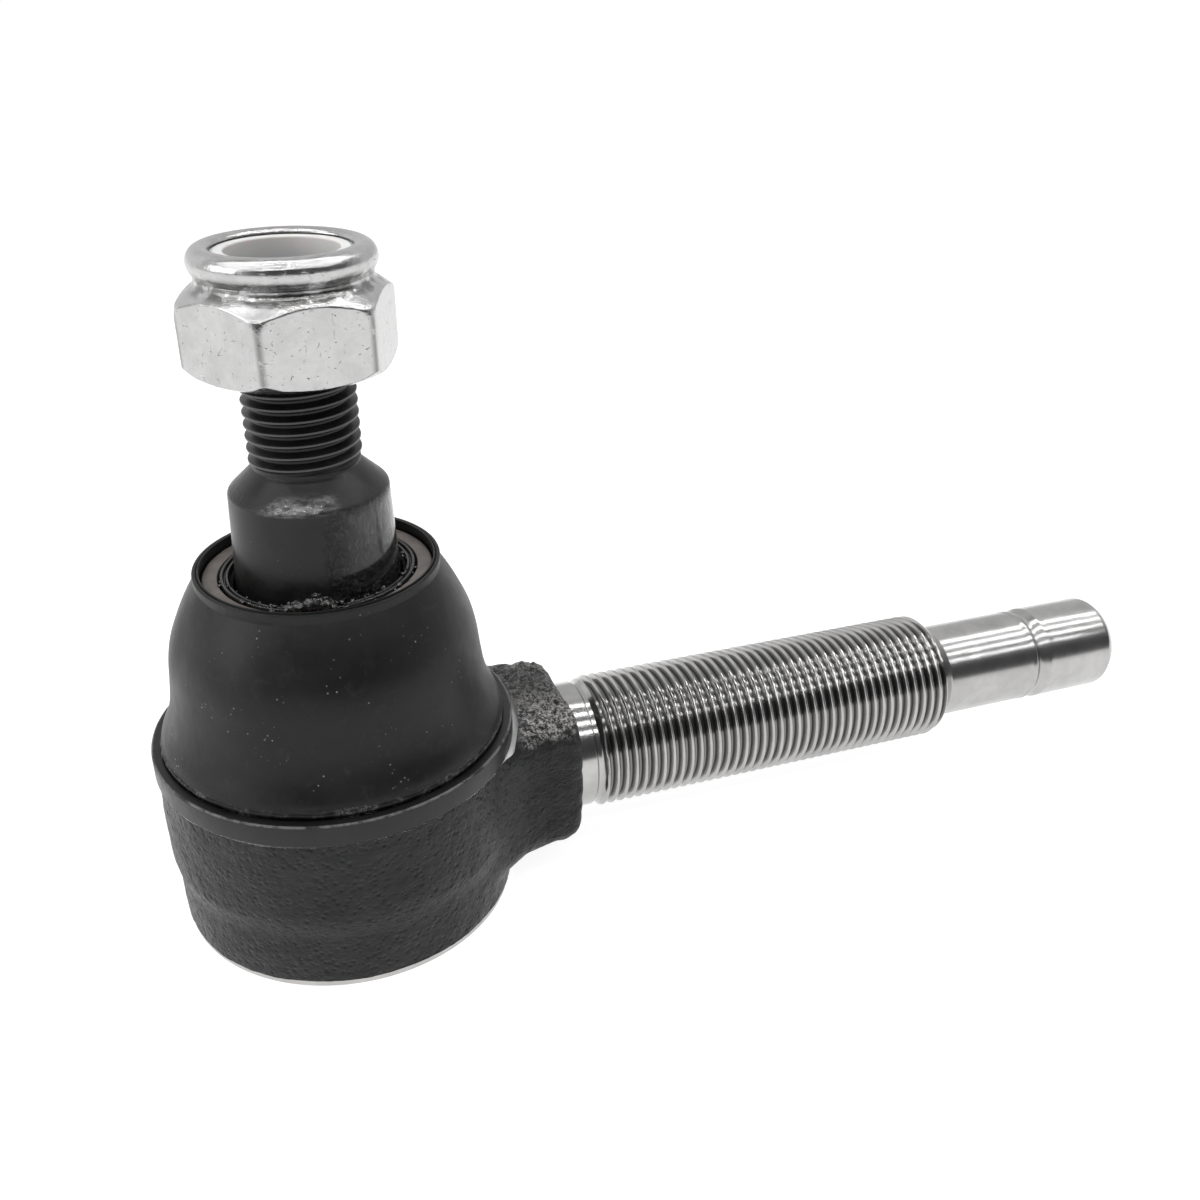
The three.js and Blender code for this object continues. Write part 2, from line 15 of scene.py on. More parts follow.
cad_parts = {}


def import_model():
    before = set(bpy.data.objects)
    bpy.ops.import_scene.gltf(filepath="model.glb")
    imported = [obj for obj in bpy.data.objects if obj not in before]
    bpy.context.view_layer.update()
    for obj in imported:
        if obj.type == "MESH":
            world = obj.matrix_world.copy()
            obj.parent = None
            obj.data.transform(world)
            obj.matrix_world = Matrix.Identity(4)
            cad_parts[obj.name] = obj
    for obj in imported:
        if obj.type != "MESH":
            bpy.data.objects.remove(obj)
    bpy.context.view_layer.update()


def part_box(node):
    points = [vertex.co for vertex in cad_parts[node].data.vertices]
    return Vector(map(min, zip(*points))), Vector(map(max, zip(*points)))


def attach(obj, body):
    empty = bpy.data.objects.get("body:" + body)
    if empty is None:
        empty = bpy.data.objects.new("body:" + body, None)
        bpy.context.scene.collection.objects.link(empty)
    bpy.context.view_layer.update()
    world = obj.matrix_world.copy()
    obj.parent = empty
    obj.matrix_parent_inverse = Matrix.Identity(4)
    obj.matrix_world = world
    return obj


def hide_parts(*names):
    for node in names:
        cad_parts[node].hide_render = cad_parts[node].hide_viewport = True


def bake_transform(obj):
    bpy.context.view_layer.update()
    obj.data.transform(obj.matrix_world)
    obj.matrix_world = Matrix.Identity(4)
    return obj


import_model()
MM = 0.001

# ------------------------------------------------------------------ sizes read from the frame


def span(node):
    """Lowest and highest corner of a CAD node, in millimetres."""
    low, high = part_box(node)
    return low / MM, high / MM


ring_low, ring_high = span("boot_base_ring")
_, boot_high = span("boot")
stud_low, stud_high = span("ball_stud")
nut_low, nut_high = span("lock_nut")
insert_low, insert_high = span("nut_insert")
_, housing_high = span("housing")
_, plate_high = span("end_plate")
top_ring_low, top_ring_high = span("boot_top_ring")
slide_low, slide_high = span("boot_slide_ring")

RING_R = ring_high.x
RING_TOP = ring_high.z
RING_BOTTOM = ring_low.z
BOOT_TOP = boot_high.z
STUD_TIP = stud_high.z
BALL_R = stud_high.x
NUT_SEAT = nut_low.z
NUT_HEIGHT = nut_high.z - nut_low.z
SHANK_END = housing_high.x
HOUSING_TOP = housing_high.z
TOP_RING_TOP = top_ring_high.z

# ------------------------------------------------------------------ sizes shared with the CAD part

PITCH = 1.5
THREAD_DEPTH = 0.92
BALL_Z = 17.5
NECK_R = 8.6
TAPER_BOTTOM_Z = 40.0
TAPER_TOP_Z = 62.2
TAPER_TOP_R = 10.0
TAPER_PER_MM = 1 / 20
UNDERCUT_R = 6.6
STUD_THREAD_R = 7.0
STUD_THREAD_Z = 65.55

HOUSING_R = 24.0
LOWER_BAND_R = 23.2
BOOT_SEAT_R = 21.0
BOOT_SEAT_Z = 23.9
SOCKET_R = 17.0
MOUTH_R = 13.7
LIP_BORE_R = 17.2

SHANK_Z = 14.9
NECK_END = 33.0
COLLAR_R = 9.5
COLLAR_END = 36.2
SHANK_THREAD_R = 10.0
SHANK_THREAD_END = 95.0
SHANK_CHAMFER_END = 97.5
PILOT_R = 7.53
PILOT_GROOVE = 115.6
PILOT_END_R = 7.65

NUT_ACROSS_FLATS = 23.0
NUT_HEX_HEIGHT = 9.8
NUT_TURN = math.radians(8)
NUT_COLLAR_R = 10.6
NUT_OPENING_R = 8.1
NYLON_BORE_R = 6.6

# ------------------------------------------------------------------ mesh helpers


def filleted(corners, steps=5):
    """Points of an outline whose corners (r, z, fillet) are rounded with arcs."""
    out = []
    count = len(corners)
    for i, corner in enumerate(corners):
        r, z = corner[0], corner[1]
        fillet = corner[2] if len(corner) > 2 else 0.0
        here = Vector((r, z))
        before = Vector(corners[i - 1][:2]) - here
        after = Vector(corners[(i + 1) % count][:2]) - here
        if fillet <= 0 or before.length < 1e-6 or after.length < 1e-6:
            out.append((r, z))
            continue
        angle = before.angle(after)
        if angle > math.pi - 0.02:
            out.append((r, z))
            continue
        reach = min(fillet / math.tan(angle / 2), before.length * 0.49, after.length * 0.49)
        start = here + before.normalized() * reach
        end = here + after.normalized() * reach
        for k in range(steps + 1):
            t = k / steps
            p = start * (1 - t) ** 2 + here * 2 * t * (1 - t) + end * t * t
            out.append((p.x, p.y))
    return out


def curve_through(points, steps):
    """Catmull-Rom points through a list of (r, z)."""
    p = [np.array(q, float) for q in points]
    p = [2 * p[0] - p[1]] + p + [2 * p[-1] - p[-2]]
    out = []
    for i in range(1, len(p) - 2):
        for k in range(steps):
            t = k / steps
            a, b, c, d = p[i - 1], p[i], p[i + 1], p[i + 2]
            q = 0.5 * (2 * b + (c - a) * t + (2 * a - 5 * b + 4 * c - d) * t * t
                       + (3 * b - 3 * c + d - a) * t ** 3)
            out.append((q[0], q[1]))
    out.append(tuple(p[-2]))
    return out


def densified(outline, step):
    """The outline with extra points, so that no span is longer than step."""
    out = []
    for (r0, z0), (r1, z1) in zip(outline, outline[1:] + outline[:1]):
        parts = max(1, math.ceil(math.hypot(r1 - r0, z1 - z0) / step))
        for k in range(parts):
            out.append((r0 + (r1 - r0) * k / parts, z0 + (z1 - z0) * k / parts))
    return out


def make_object(name, vertices, faces, sharp_deg=32, merge=1e-4):
    """A mesh object from points in millimetres."""
    mesh = bpy.data.meshes.new(name)
    mesh.from_pydata([tuple(v) for v in vertices], [], [tuple(f) for f in faces])
    bm = bmesh.new()
    bm.from_mesh(mesh)
    bmesh.ops.remove_doubles(bm, verts=bm.verts, dist=merge)
    bmesh.ops.dissolve_degenerate(bm, edges=bm.edges, dist=merge)
    bmesh.ops.recalc_face_normals(bm, faces=bm.faces)
    bm.to_mesh(mesh)
    bm.free()
    mesh.transform(Matrix.Scale(MM, 4))
    obj = bpy.data.objects.new(name, mesh)
    bpy.context.scene.collection.objects.link(obj)
    shade(obj, sharp_deg)
    return obj


def shade(obj, sharp_deg=32):
    mesh = obj.data
    mesh.polygons.foreach_set("use_smooth", [True] * len(mesh.polygons))
    mesh.set_sharp_from_angle(angle=math.radians(sharp_deg))


def turned(name, outline, sides=160, along_x=False, height=0.0, wobble=None, sharp_deg=32):
    """A closed solid of revolution. wobble(r, z, angle) may move a point to a new (r, z)."""
    points = list(outline)
    rows = len(points)
    vertices, faces = [], []
    for j in range(sides):
        angle = 2 * math.pi * j / sides
        for r, z in points:
            if wobble:
                r, z = wobble(r, z, angle)
            vertices.append(placed(r, z, angle, along_x, height))
    closed_on_axis = points[0][0] < 1e-9 and points[-1][0] < 1e-9
    spans = rows - 1 if closed_on_axis else rows
    for j in range(sides):
        k = (j + 1) % sides
        for i in range(spans):
            n = (i + 1) % rows
            faces.append((j * rows + i, k * rows + i, k * rows + n, j * rows + n))
    return make_object(name, vertices, faces, sharp_deg)


def placed(r, z, angle, along_x, height):
    """A point of a turned piece: its axis is +Z, or +X at a height."""
    if along_x:
        return z, r * math.cos(angle), height + r * math.sin(angle)
    return r * math.cos(angle), r * math.sin(angle), z


def thread_drop(phase):
    """Depth below the crest, from 0 to 1, of a rolled 60 degree thread at an axial phase."""
    x = abs((phase + 0.5) % 1.0 - 0.5) * 2
    t = min(max((x - 0.14) / 0.66, 0.0), 1.0)
    return 0.75 * t + 0.25 * t * t * (3 - 2 * t)


def thread_surface(start, end, major, depth, envelope, sides, rows_per_pitch, fade):
    """Grid of a right-handed thread between two stations. envelope(s) caps the radius."""
    first = -rows_per_pitch
    last = math.ceil((end - start) / PITCH * rows_per_pitch)
    vertices, faces = [], []
    for j in range(sides):
        turn = j / sides
        for i in range(first, last + 1):
            s = start + (i / rows_per_pitch + turn) * PITCH
            s = min(max(s, start), end)
            phase = (s - start) / PITCH - turn
            grip = min(1.0, (s - start) / fade, (end - s) / fade)
            drop = depth * thread_drop(phase)
            r = major - drop
            cap = envelope(s)
            r = min(cap, r + (cap - r) * (1 - grip)) if grip < 1 else min(cap, r)
            vertices.append((r, s, 2 * math.pi * turn))
    rows = last - first + 1
    for j in range(sides):
        k = (j + 1) % sides
        shift = rows_per_pitch if k == 0 else 0
        for i in range(rows - 1):
            a, b = i + shift, i + 1 + shift
            a, b = min(a, rows - 1), min(b, rows - 1)
            faces.append((j * rows + i, k * rows + a, k * rows + b, j * rows + i + 1))
    return vertices, faces


def turned_with_thread(name, before, after, thread, sides, along_x, height, sharp_deg=40):
    """A solid turned piece: outline before the thread, the thread, outline after it."""
    start, end, major, envelope, rows_per_pitch, fade = thread
    cells, faces = thread_surface(
        start, end, major, THREAD_DEPTH, envelope, sides, rows_per_pitch, fade)
    vertices = [placed(r, s, angle, along_x, height) for r, s, angle in cells]
    for outline in (before, after):
        base = len(vertices)
        rows = len(outline)
        for j in range(sides):
            angle = 2 * math.pi * j / sides
            vertices += [placed(r, z, angle, along_x, height) for r, z in outline]
        for j in range(sides):
            k = (j + 1) % sides
            for i in range(rows - 1):
                faces.append((base + j * rows + i, base + k * rows + i,
                              base + k * rows + i + 1, base + j * rows + i + 1))
    return make_object(name, vertices, faces, sharp_deg, merge=2e-4)


def apply_modifier(obj, kind, **settings):
    modifier = obj.modifiers.new(kind, kind)
    for key, value in settings.items():
        setattr(modifier, key, value)
    depsgraph = bpy.context.evaluated_depsgraph_get()
    mesh = bpy.data.meshes.new_from_object(obj.evaluated_get(depsgraph))
    obj.modifiers.clear()
    old = obj.data
    obj.data = mesh
    bpy.data.meshes.remove(old)
    return obj


def drop_object(obj):
    mesh = obj.data
    bpy.data.objects.remove(obj)
    bpy.data.meshes.remove(mesh)


def coordinates(mesh):
    co = np.empty(len(mesh.vertices) * 3)
    mesh.vertices.foreach_get("co", co)
    return co.reshape(-1, 3)


def set_coordinates(mesh, co):
    mesh.vertices.foreach_set("co", co.ravel())
    mesh.update()


# ------------------------------------------------------------------ material helpers


class Look:
    """A node material that reads object coordinates in millimetres."""

    def __init__(self, name):
        self.material = bpy.data.materials.new(name)
        self.material.use_nodes = True
        self.tree = self.material.node_tree
        self.tree.nodes.clear()
        self.output = self.node("ShaderNodeOutputMaterial")
        self.shader = self.node("ShaderNodeBsdfPrincipled")
        self.link(self.shader.outputs[0], self.output.inputs["Surface"])
        place = self.node("ShaderNodeTexCoord")
        scale = self.node("ShaderNodeVectorMath")
        scale.operation = "SCALE"
        scale.inputs["Scale"].default_value = 1 / MM
        self.link(place.outputs["Object"], scale.inputs[0])
        self.place = scale.outputs[0]

    def node(self, kind):
        return self.tree.nodes.new(kind)

    def link(self, source, target):
        self.tree.links.new(source, target)

    def put(self, socket, value):
        if isinstance(value, bpy.types.NodeSocket):
            self.link(value, socket)
        else:
            socket.default_value = value

    def set(self, **values):
        """Sets the shader's sockets, such as Base_Color or Roughness."""
        for key, value in values.items():
            self.put(self.shader.inputs[key.replace("_", " ")], value)

    def noise(self, size, detail=3.0, rough=0.55, distortion=0.0, place=None):
        """Noise from 0 to 1 with features about size millimetres across."""
        n = self.node("ShaderNodeTexNoise")
        self.link(place or self.place, n.inputs["Vector"])
        n.inputs["Scale"].default_value = 1 / size
        n.inputs["Detail"].default_value = detail
        n.inputs["Roughness"].default_value = rough
        n.inputs["Distortion"].default_value = distortion
        return n.outputs["Fac"]

    def cells(self, size, feature="F1"):
        n = self.node("ShaderNodeTexVoronoi")
        n.feature = feature
        self.link(self.place, n.inputs["Vector"])
        n.inputs["Scale"].default_value = 1 / size
        return n.outputs["Distance"]

    def stretched(self, x, y, z):
        """The coordinates scaled along each axis, for grain or streaks."""
        n = self.node("ShaderNodeVectorMath")
        n.operation = "MULTIPLY"
        self.link(self.place, n.inputs[0])
        n.inputs[1].default_value = (x, y, z)
        return n.outputs[0]

    def ramp(self, value, low, high, to_low=0.0, to_high=1.0):
        """Maps value from low..high to to_low..to_high, smoothly and clamped."""
        n = self.node("ShaderNodeMapRange")
        n.interpolation_type = "SMOOTHSTEP"
        self.put(n.inputs["Value"], value)
        n.inputs["From Min"].default_value = low
        n.inputs["From Max"].default_value = high
        n.inputs["To Min"].default_value = to_low
        n.inputs["To Max"].default_value = to_high
        return n.outputs["Result"]

    def math(self, operation, a, b=0.0):
        n = self.node("ShaderNodeMath")
        n.operation = operation
        self.put(n.inputs[0], a)
        self.put(n.inputs[1], b)
        return n.outputs[0]

    def mix(self, factor, a, b):
        n = self.node("ShaderNodeMix")
        n.data_type = "RGBA"
        self.put(n.inputs["Factor"], factor)
        self.put(n.inputs["A"], a)
        self.put(n.inputs["B"], b)
        return n.outputs["Result"]

    def axis(self, name):
        """One coordinate, in millimetres."""
        n = self.node("ShaderNodeSeparateXYZ")
        self.link(self.place, n.inputs[0])
        return n.outputs[name]

    def radius(self):
        """Distance from the stud's axis, in millimetres."""
        n = self.node("ShaderNodeVectorMath")
        n.operation = "LENGTH"
        self.link(self.stretched(1, 1, 0), n.inputs[0])
        return n.outputs["Value"]

    def normal_z(self):
        n = self.node("ShaderNodeNewGeometry")
        s = self.node("ShaderNodeSeparateXYZ")
        self.link(n.outputs["Normal"], s.inputs[0])
        return s.outputs["Z"]

    def bump(self, height, depth, below=None):
        """A bump of depth millimetres for a height from 0 to 1."""
        n = self.node("ShaderNodeBump")
        n.inputs["Distance"].default_value = depth * MM
        self.put(n.inputs["Height"], height)
        if below is not None:
            self.link(below, n.inputs["Normal"])
        return n.outputs["Normal"]


def grey(value, warm=0.0):
    return (value * (1 + warm), value, value * (1 - warm), 1.0)


# ------------------------------------------------------------------ materials


def paint_look():
    """Satin black paint over a pitted forged skin, coarse on the neck's top, with pale specks there
    that are partly dust and partly painted glints, strongest toward the front edge.
    """
    k = Look("housing_paint")
    skin = k.noise(0.75, 5, 0.62)
    pits = k.ramp(k.cells(0.95), 0.0, 0.5)
    fine = k.noise(0.22, 3, 0.6)
    up = k.ramp(k.normal_z(), 0.3, 0.85)
    neck_from, neck_full = 22.5, 25.5  # the neck's rougher skin fades in along the shank
    on_neck = k.ramp(k.axis("X"), neck_from, neck_full)
    top = k.math("MULTIPLY", up, on_neck)
    # the pale specks on the neck's top are partly dust and partly painted glints; they are painted
    # brighter toward the front edge, a painted highlight on the ridge
    front_glint = k.ramp(k.axis("Y"), 2.0, -9.0, 0.3, 1.0)
    dust_and_glint_specks = k.math("MULTIPLY", k.ramp(k.noise(0.6, 5, 0.85), 0.46, 0.58), front_glint)
    dust = k.math("MULTIPLY", top, dust_and_glint_specks)
    lumps = k.math("MULTIPLY", k.noise(1.1, 4, 0.7), on_neck)
    body = k.mix(k.ramp(k.noise(6.0, 3, 0.6), 0.3, 0.7), grey(0.005, -0.04), grey(0.01, -0.04))
    k.set(Base_Color=k.mix(dust, body, grey(0.42, 0.03)), Metallic=0.0)
    rough = k.ramp(skin, 0.3, 0.8, 0.3, 0.5)
    k.set(Roughness=k.math("SUBTRACT", rough, k.math("MULTIPLY", top, 0.17)))
    k.set(Specular_IOR_Level=0.27)
    n = k.bump(lumps, 0.45)
    n = k.bump(skin, 0.22, n)
    n = k.bump(pits, 0.13, n)
    n = k.bump(fine, 0.035, n)
    k.set(Normal=n)
    return k.material


def steel_look(name, base, roughness, warm=0.02):
    """Bright turned steel with fine tool marks round the stud's axis."""
    k = Look(name)
    grain = k.noise(0.25, 4, 0.7, place=k.stretched(0.15, 0.15, 3.0))
    clouds = k.noise(4.0, 4, 0.6)
    marks = k.ramp(k.noise(0.9, 5, 0.75), 0.62, 0.74)
    tone = k.mix(k.ramp(clouds, 0.3, 0.7), grey(base * 0.86, warm), grey(base, warm))
    k.set(Base_Color=k.mix(k.math("MULTIPLY", marks, 0.35), tone, grey(base * 0.45, warm)))
    k.set(Metallic=1.0, Roughness=k.ramp(grain, 0.2, 0.8, roughness * 0.75, roughness * 1.3))
    k.set(Normal=k.bump(grain, 0.012))
    return k.material


def shank_look():
    """Rolled thread and turned steel, with painted shade in the thread's roots and specks of rust
    bloom.
    """
    k = Look("shank_steel")
    grain = k.noise(0.2, 4, 0.7, place=k.stretched(3.0, 0.12, 0.12))
    clouds = k.noise(5.0, 4, 0.6)
    across = k.node("ShaderNodeVectorMath")
    across.operation = "LENGTH"
    shifted = k.node("ShaderNodeVectorMath")
    shifted.operation = "SUBTRACT"
    k.link(k.stretched(0, 1, 1), shifted.inputs[0])
    shifted.inputs[1].default_value = (0, 0, SHANK_Z)
    k.link(shifted.outputs[0], across.inputs[0])
    in_thread = k.math(
        "MULTIPLY",
        k.ramp(k.axis("X"), COLLAR_END, COLLAR_END + 1.5),
        k.ramp(k.axis("X"), SHANK_THREAD_END + 1, SHANK_THREAD_END))
    root_shade_from_r, root_shade_full_r = 9.7, 9.15  # painted shade darkens the thread from the flank down into the roots
    root = k.math("MULTIPLY", k.ramp(across.outputs["Value"], root_shade_from_r, root_shade_full_r), in_thread)
    tone = k.mix(k.ramp(clouds, 0.3, 0.7), grey(0.4, 0.01), grey(0.48, 0.01))
    dark = k.mix(k.math("MULTIPLY", root, 0.8), tone, grey(0.12, 0.03))
    marks = k.ramp(k.noise(0.8, 5, 0.8), 0.66, 0.76)
    k.set(Base_Color=k.mix(k.math("MULTIPLY", marks, 0.5), dark, grey(0.14, 0.1)))
    turned_end = k.ramp(k.axis("X"), SHANK_THREAD_END, SHANK_THREAD_END + 1.5, 0, 0.05)
    k.set(Metallic=1.0)
    k.set(Roughness=k.math("ADD", k.ramp(grain, 0.2, 0.8, 0.13, 0.21), turned_end))
    k.set(Normal=k.bump(k.math("MULTIPLY", grain, in_thread), 0.003))
    return k.material


def rubber_look():
    """Satin moulded rubber with a faint bloom, scuffs, and stray specks of dust in clusters."""
    k = Look("boot_rubber")
    bloom = k.noise(9.0, 4, 0.6)
    smudge = k.ramp(k.noise(2.6, 6, 0.75, 0.8), 0.54, 0.7)
    specks = k.ramp(k.cells(0.8), 0.2, 0.09)
    clusters = k.ramp(k.noise(5.0, 3, 0.6), 0.56, 0.66)
    dust = k.math("MULTIPLY", specks, clusters)
    edge = k.math(
        "MULTIPLY",
        k.ramp(k.axis("Z"), RING_TOP + 1.5, RING_TOP + 0.9),
        k.ramp(k.noise(3.5, 3, 0.6), 0.42, 0.58))
    flash = k.math("MULTIPLY", edge, k.ramp(k.noise(0.45, 4, 0.8), 0.45, 0.6))
    tone = k.mix(k.ramp(bloom, 0.3, 0.75), grey(0.005), grey(0.01))
    tone = k.mix(k.math("MULTIPLY", smudge, 0.4), tone, grey(0.026))
    tone = k.mix(k.math("MULTIPLY", flash, 0.5), tone, grey(0.2))
    k.set(Base_Color=k.mix(k.math("MULTIPLY", dust, 0.55), tone, grey(0.3, 0.03)))
    k.set(Roughness=k.ramp(bloom, 0.25, 0.75, 0.36, 0.48), Specular_IOR_Level=0.27)
    n = k.bump(k.noise(0.35, 3, 0.6), 0.02)
    n = k.bump(k.noise(4.5, 2, 0.5), 0.12, n)
    n = k.bump(dust, 0.05, n)
    k.set(Normal=n)
    return k.material


def ring_look():
    """Smooth satin black band whose rim carries a painted highlight in a thin broken line."""
    k = Look("ring_steel")
    rim = k.math(
        "MULTIPLY",
        k.ramp(k.axis("Z"), RING_TOP - 0.3, RING_TOP - 0.16),
        k.ramp(k.radius(), RING_R - 0.36, RING_R - 0.2))
    # a painted highlight along the rim's outer top edge, broken up by noise
    painted_edge_light = k.math("MULTIPLY", rim, k.ramp(k.noise(2.2, 4, 0.7), 0.36, 0.58))
    tone = k.mix(k.ramp(k.noise(5.0, 3, 0.5), 0.3, 0.7), grey(0.006), grey(0.01))
    k.set(Base_Color=k.mix(k.math("MULTIPLY", painted_edge_light, 0.5), tone, grey(0.22)))
    k.set(Specular_IOR_Level=0.34)
    k.set(Roughness=k.ramp(k.noise(1.2, 3, 0.6), 0.3, 0.7, 0.3, 0.4))
    k.set(Normal=k.bump(k.noise(0.5, 3, 0.6), 0.012))
    return k.material


def stud_look():
    """Black phosphated steel with an oil film that wrinkles on one side of the taper, a painted
    highlight on the front of the shoulder's cone, and painted highlights along the thread's crests.
    """
    k = Look("stud_steel")
    grain = k.noise(0.3, 4, 0.7, place=k.stretched(0.15, 0.15, 3.0))
    side = k.ramp(k.axis("X"), -1.0, 5.5)
    low = k.ramp(k.axis("Z"), TAPER_TOP_Z + 0.2, TAPER_TOP_Z - 1.5)
    oiled = k.math("MULTIPLY", side, low)
    wrinkle = k.noise(1.5, 5, 0.65, 1.8, place=k.stretched(1.0, 1.0, 0.6))
    clouds = k.noise(3.5, 4, 0.6)
    # a painted highlight: a lighter, metallic patch on the front of the cone above the taper,
    # broken up by noise
    cone = k.math(
        "MULTIPLY",
        k.ramp(k.axis("Z"), TAPER_TOP_Z - 0.5, TAPER_TOP_Z + 0.1),
        k.ramp(k.axis("Z"), TAPER_TOP_Z + 2.2, TAPER_TOP_Z + 0.4))
    front = k.math("MULTIPLY", k.ramp(k.axis("X"), 3.0, 0.5), k.ramp(k.axis("Y"), -6.5, -8.0))
    highlight_breakup = k.noise(0.9, 5, 0.75, place=k.stretched(0.45, 0.45, 1.6))
    painted_highlight = k.math("MULTIPLY", k.math("MULTIPLY", cone, front), k.ramp(highlight_breakup, 0.36, 0.66))
    # the thread's crests are painted lighter, a painted highlight along them
    crest = k.math(
        "MULTIPLY",
        k.ramp(k.radius(), STUD_THREAD_R - 0.09, STUD_THREAD_R - 0.01),
        k.ramp(k.axis("Z"), STUD_THREAD_Z, STUD_THREAD_Z + 1))
    tone = k.mix(k.ramp(clouds, 0.3, 0.7), grey(0.004), grey(0.01))
    tone = k.mix(k.math("MULTIPLY", crest, 0.55), tone, grey(0.11))
    fleck = k.math("MULTIPLY", k.ramp(k.cells(0.9), 0.12, 0.05), k.ramp(clouds, 0.5, 0.62))
    tone = k.mix(k.math("MULTIPLY", fleck, 0.4), tone, grey(0.16, 0.04))
    k.set(Base_Color=k.mix(painted_highlight, tone, grey(0.24)), Metallic=painted_highlight, Specular_IOR_Level=0.34)
    rough = k.ramp(clouds, 0.25, 0.75, 0.28, 0.4)
    rough = k.math("SUBTRACT", rough, k.math("MULTIPLY", oiled, 0.16))
    k.set(Roughness=k.math("SUBTRACT", rough, k.math("MULTIPLY", painted_highlight, 0.1)))
    n = k.bump(grain, 0.012)
    n = k.bump(k.math("MULTIPLY", k.ramp(wrinkle, 0.4, 0.62), oiled), 1.0, n)
    n = k.bump(k.math("MULTIPLY", k.noise(0.6, 4, 0.7), cone), 0.08, n)
    k.set(Normal=n)
    k.set(Coat_Weight=k.math("MULTIPLY", oiled, 0.8), Coat_Roughness=0.1)
    return k.material


def zinc_look():
    """Bright zinc plate with fine scratches, dull clouds and small dark specks, with painted shade
    along the hexagon's corners and painted dark reflections in patches under the collar.
    """
    k = Look("nut_zinc")
    clouds = k.noise(2.6, 5, 0.65)
    scratches = k.noise(0.2, 4, 0.7, 0.6, place=k.stretched(1.0, 1.0, 0.3))
    specks = k.math(
        "MULTIPLY", k.ramp(k.cells(0.6), 0.2, 0.08), k.ramp(k.noise(1.3, 4, 0.7), 0.53, 0.62))
    lines = k.math(
        "MULTIPLY",
        k.ramp(k.cells(1.7, "DISTANCE_TO_EDGE"), 0.03, 0.005),
        k.ramp(k.noise(1.0, 3, 0.6), 0.56, 0.64))
    hex_top_z = NUT_SEAT + NUT_HEX_HEIGHT
    corner_shade_from_r, corner_r = 12.85, 13.1  # painted shade darkens the plate only along the hexagon's corners
    painted_edge_light = k.ramp(k.radius(), corner_shade_from_r, corner_r)
    corners = k.math("MULTIPLY", painted_edge_light, k.ramp(k.noise(1.5, 4, 0.7), 0.3, 0.5))
    # painted dark reflections in patches under the collar
    under_collar = k.math(
        "MULTIPLY",
        k.ramp(k.axis("Z"), hex_top_z - 0.2, hex_top_z + 0.5),
        k.ramp(k.axis("Z"), hex_top_z + 2.9, hex_top_z + 2.0))
    dark_reflection_patches = k.math("MULTIPLY", under_collar, k.ramp(k.noise(2.0, 3, 0.5), 0.4, 0.55))
    shaded = k.math("MAXIMUM", corners, dark_reflection_patches)
    marks = k.math("MAXIMUM", specks, lines)
    tone = k.mix(k.ramp(clouds, 0.3, 0.7), grey(0.46, 0.003), grey(0.54, 0.003))
    tone = k.mix(k.math("MULTIPLY", shaded, 0.75), tone, grey(0.12, 0.02))
    k.set(Base_Color=k.mix(k.math("MULTIPLY", marks, 0.6), tone, grey(0.14, 0.05)))
    k.set(Metallic=1.0, Roughness=k.ramp(clouds, 0.25, 0.75, 0.13, 0.26))
    n = k.bump(scratches, 0.012)
    n = k.bump(k.noise(1.2, 4, 0.6), 0.07, n)
    n = k.bump(k.math("SUBTRACT", 1.0, marks), 0.03, n)
    k.set(Normal=n)
    return k.material


def plastic_look(name, base, roughness, warm=0.0, subsurface=0.0):
    k = Look(name)
    clouds = k.noise(1.8, 3, 0.5)
    k.set(Base_Color=k.mix(clouds, grey(base * 0.93, warm), grey(base, warm)))
    k.set(Roughness=k.ramp(clouds, 0.3, 0.7, roughness * 0.85, roughness * 1.15))
    k.set(Normal=k.bump(k.noise(0.3, 2, 0.5), 0.008))
    if subsurface:
        k.set(Subsurface_Weight=subsurface, Subsurface_Scale=0.0012)
    return k.material


def dusty_ring_look():
    """Taupe phosphate on the boot's top ring, dusty, with oily blots."""
    k = Look("dusty_ring")
    blot = k.ramp(k.noise(1.6, 5, 0.7, 0.5), 0.5, 0.66)
    clouds = k.noise(3.0, 4, 0.6)
    tone = k.mix(k.ramp(clouds, 0.3, 0.7), (0.13, 0.112, 0.102, 1), (0.2, 0.178, 0.162, 1))
    k.set(Base_Color=k.mix(k.math("MULTIPLY", blot, 0.6), tone, grey(0.05, 0.1)))
    k.set(Metallic=0.2, Roughness=k.ramp(blot, 0, 1, 0.5, 0.3))
    k.set(Normal=k.bump(k.noise(0.5, 4, 0.6), 0.02))
    return k.material


def grease_look():
    """Wet black grease."""
    k = Look("grease")
    k.set(Base_Color=k.mix(k.noise(0.8, 3, 0.6), grey(0.003, 0.05), grey(0.009, 0.08)))
    k.set(Roughness=k.ramp(k.noise(0.5, 3, 0.6), 0.3, 0.7, 0.1, 0.2), Specular_IOR_Level=0.9)
    k.set(Normal=k.bump(k.noise(0.5, 3, 0.7), 0.16))
    return k.material


def spot_face_look():
    """Bare forging where the seat for the boot's band is machined, given a near-white, non-metal
    colour: a painted highlight in place of the bare steel's bright reflection.
    """
    k = Look("spot_face")
    k.set(Base_Color=k.mix(k.noise(0.6, 4, 0.6), grey(0.85), grey(0.95)), Metallic=0.0)
    k.set(Roughness=k.ramp(k.noise(0.5, 3, 0.6), 0.3, 0.7, 0.4, 0.55))
    k.set(Normal=k.bump(k.noise(0.3, 3, 0.6), 0.02))
    return k.material


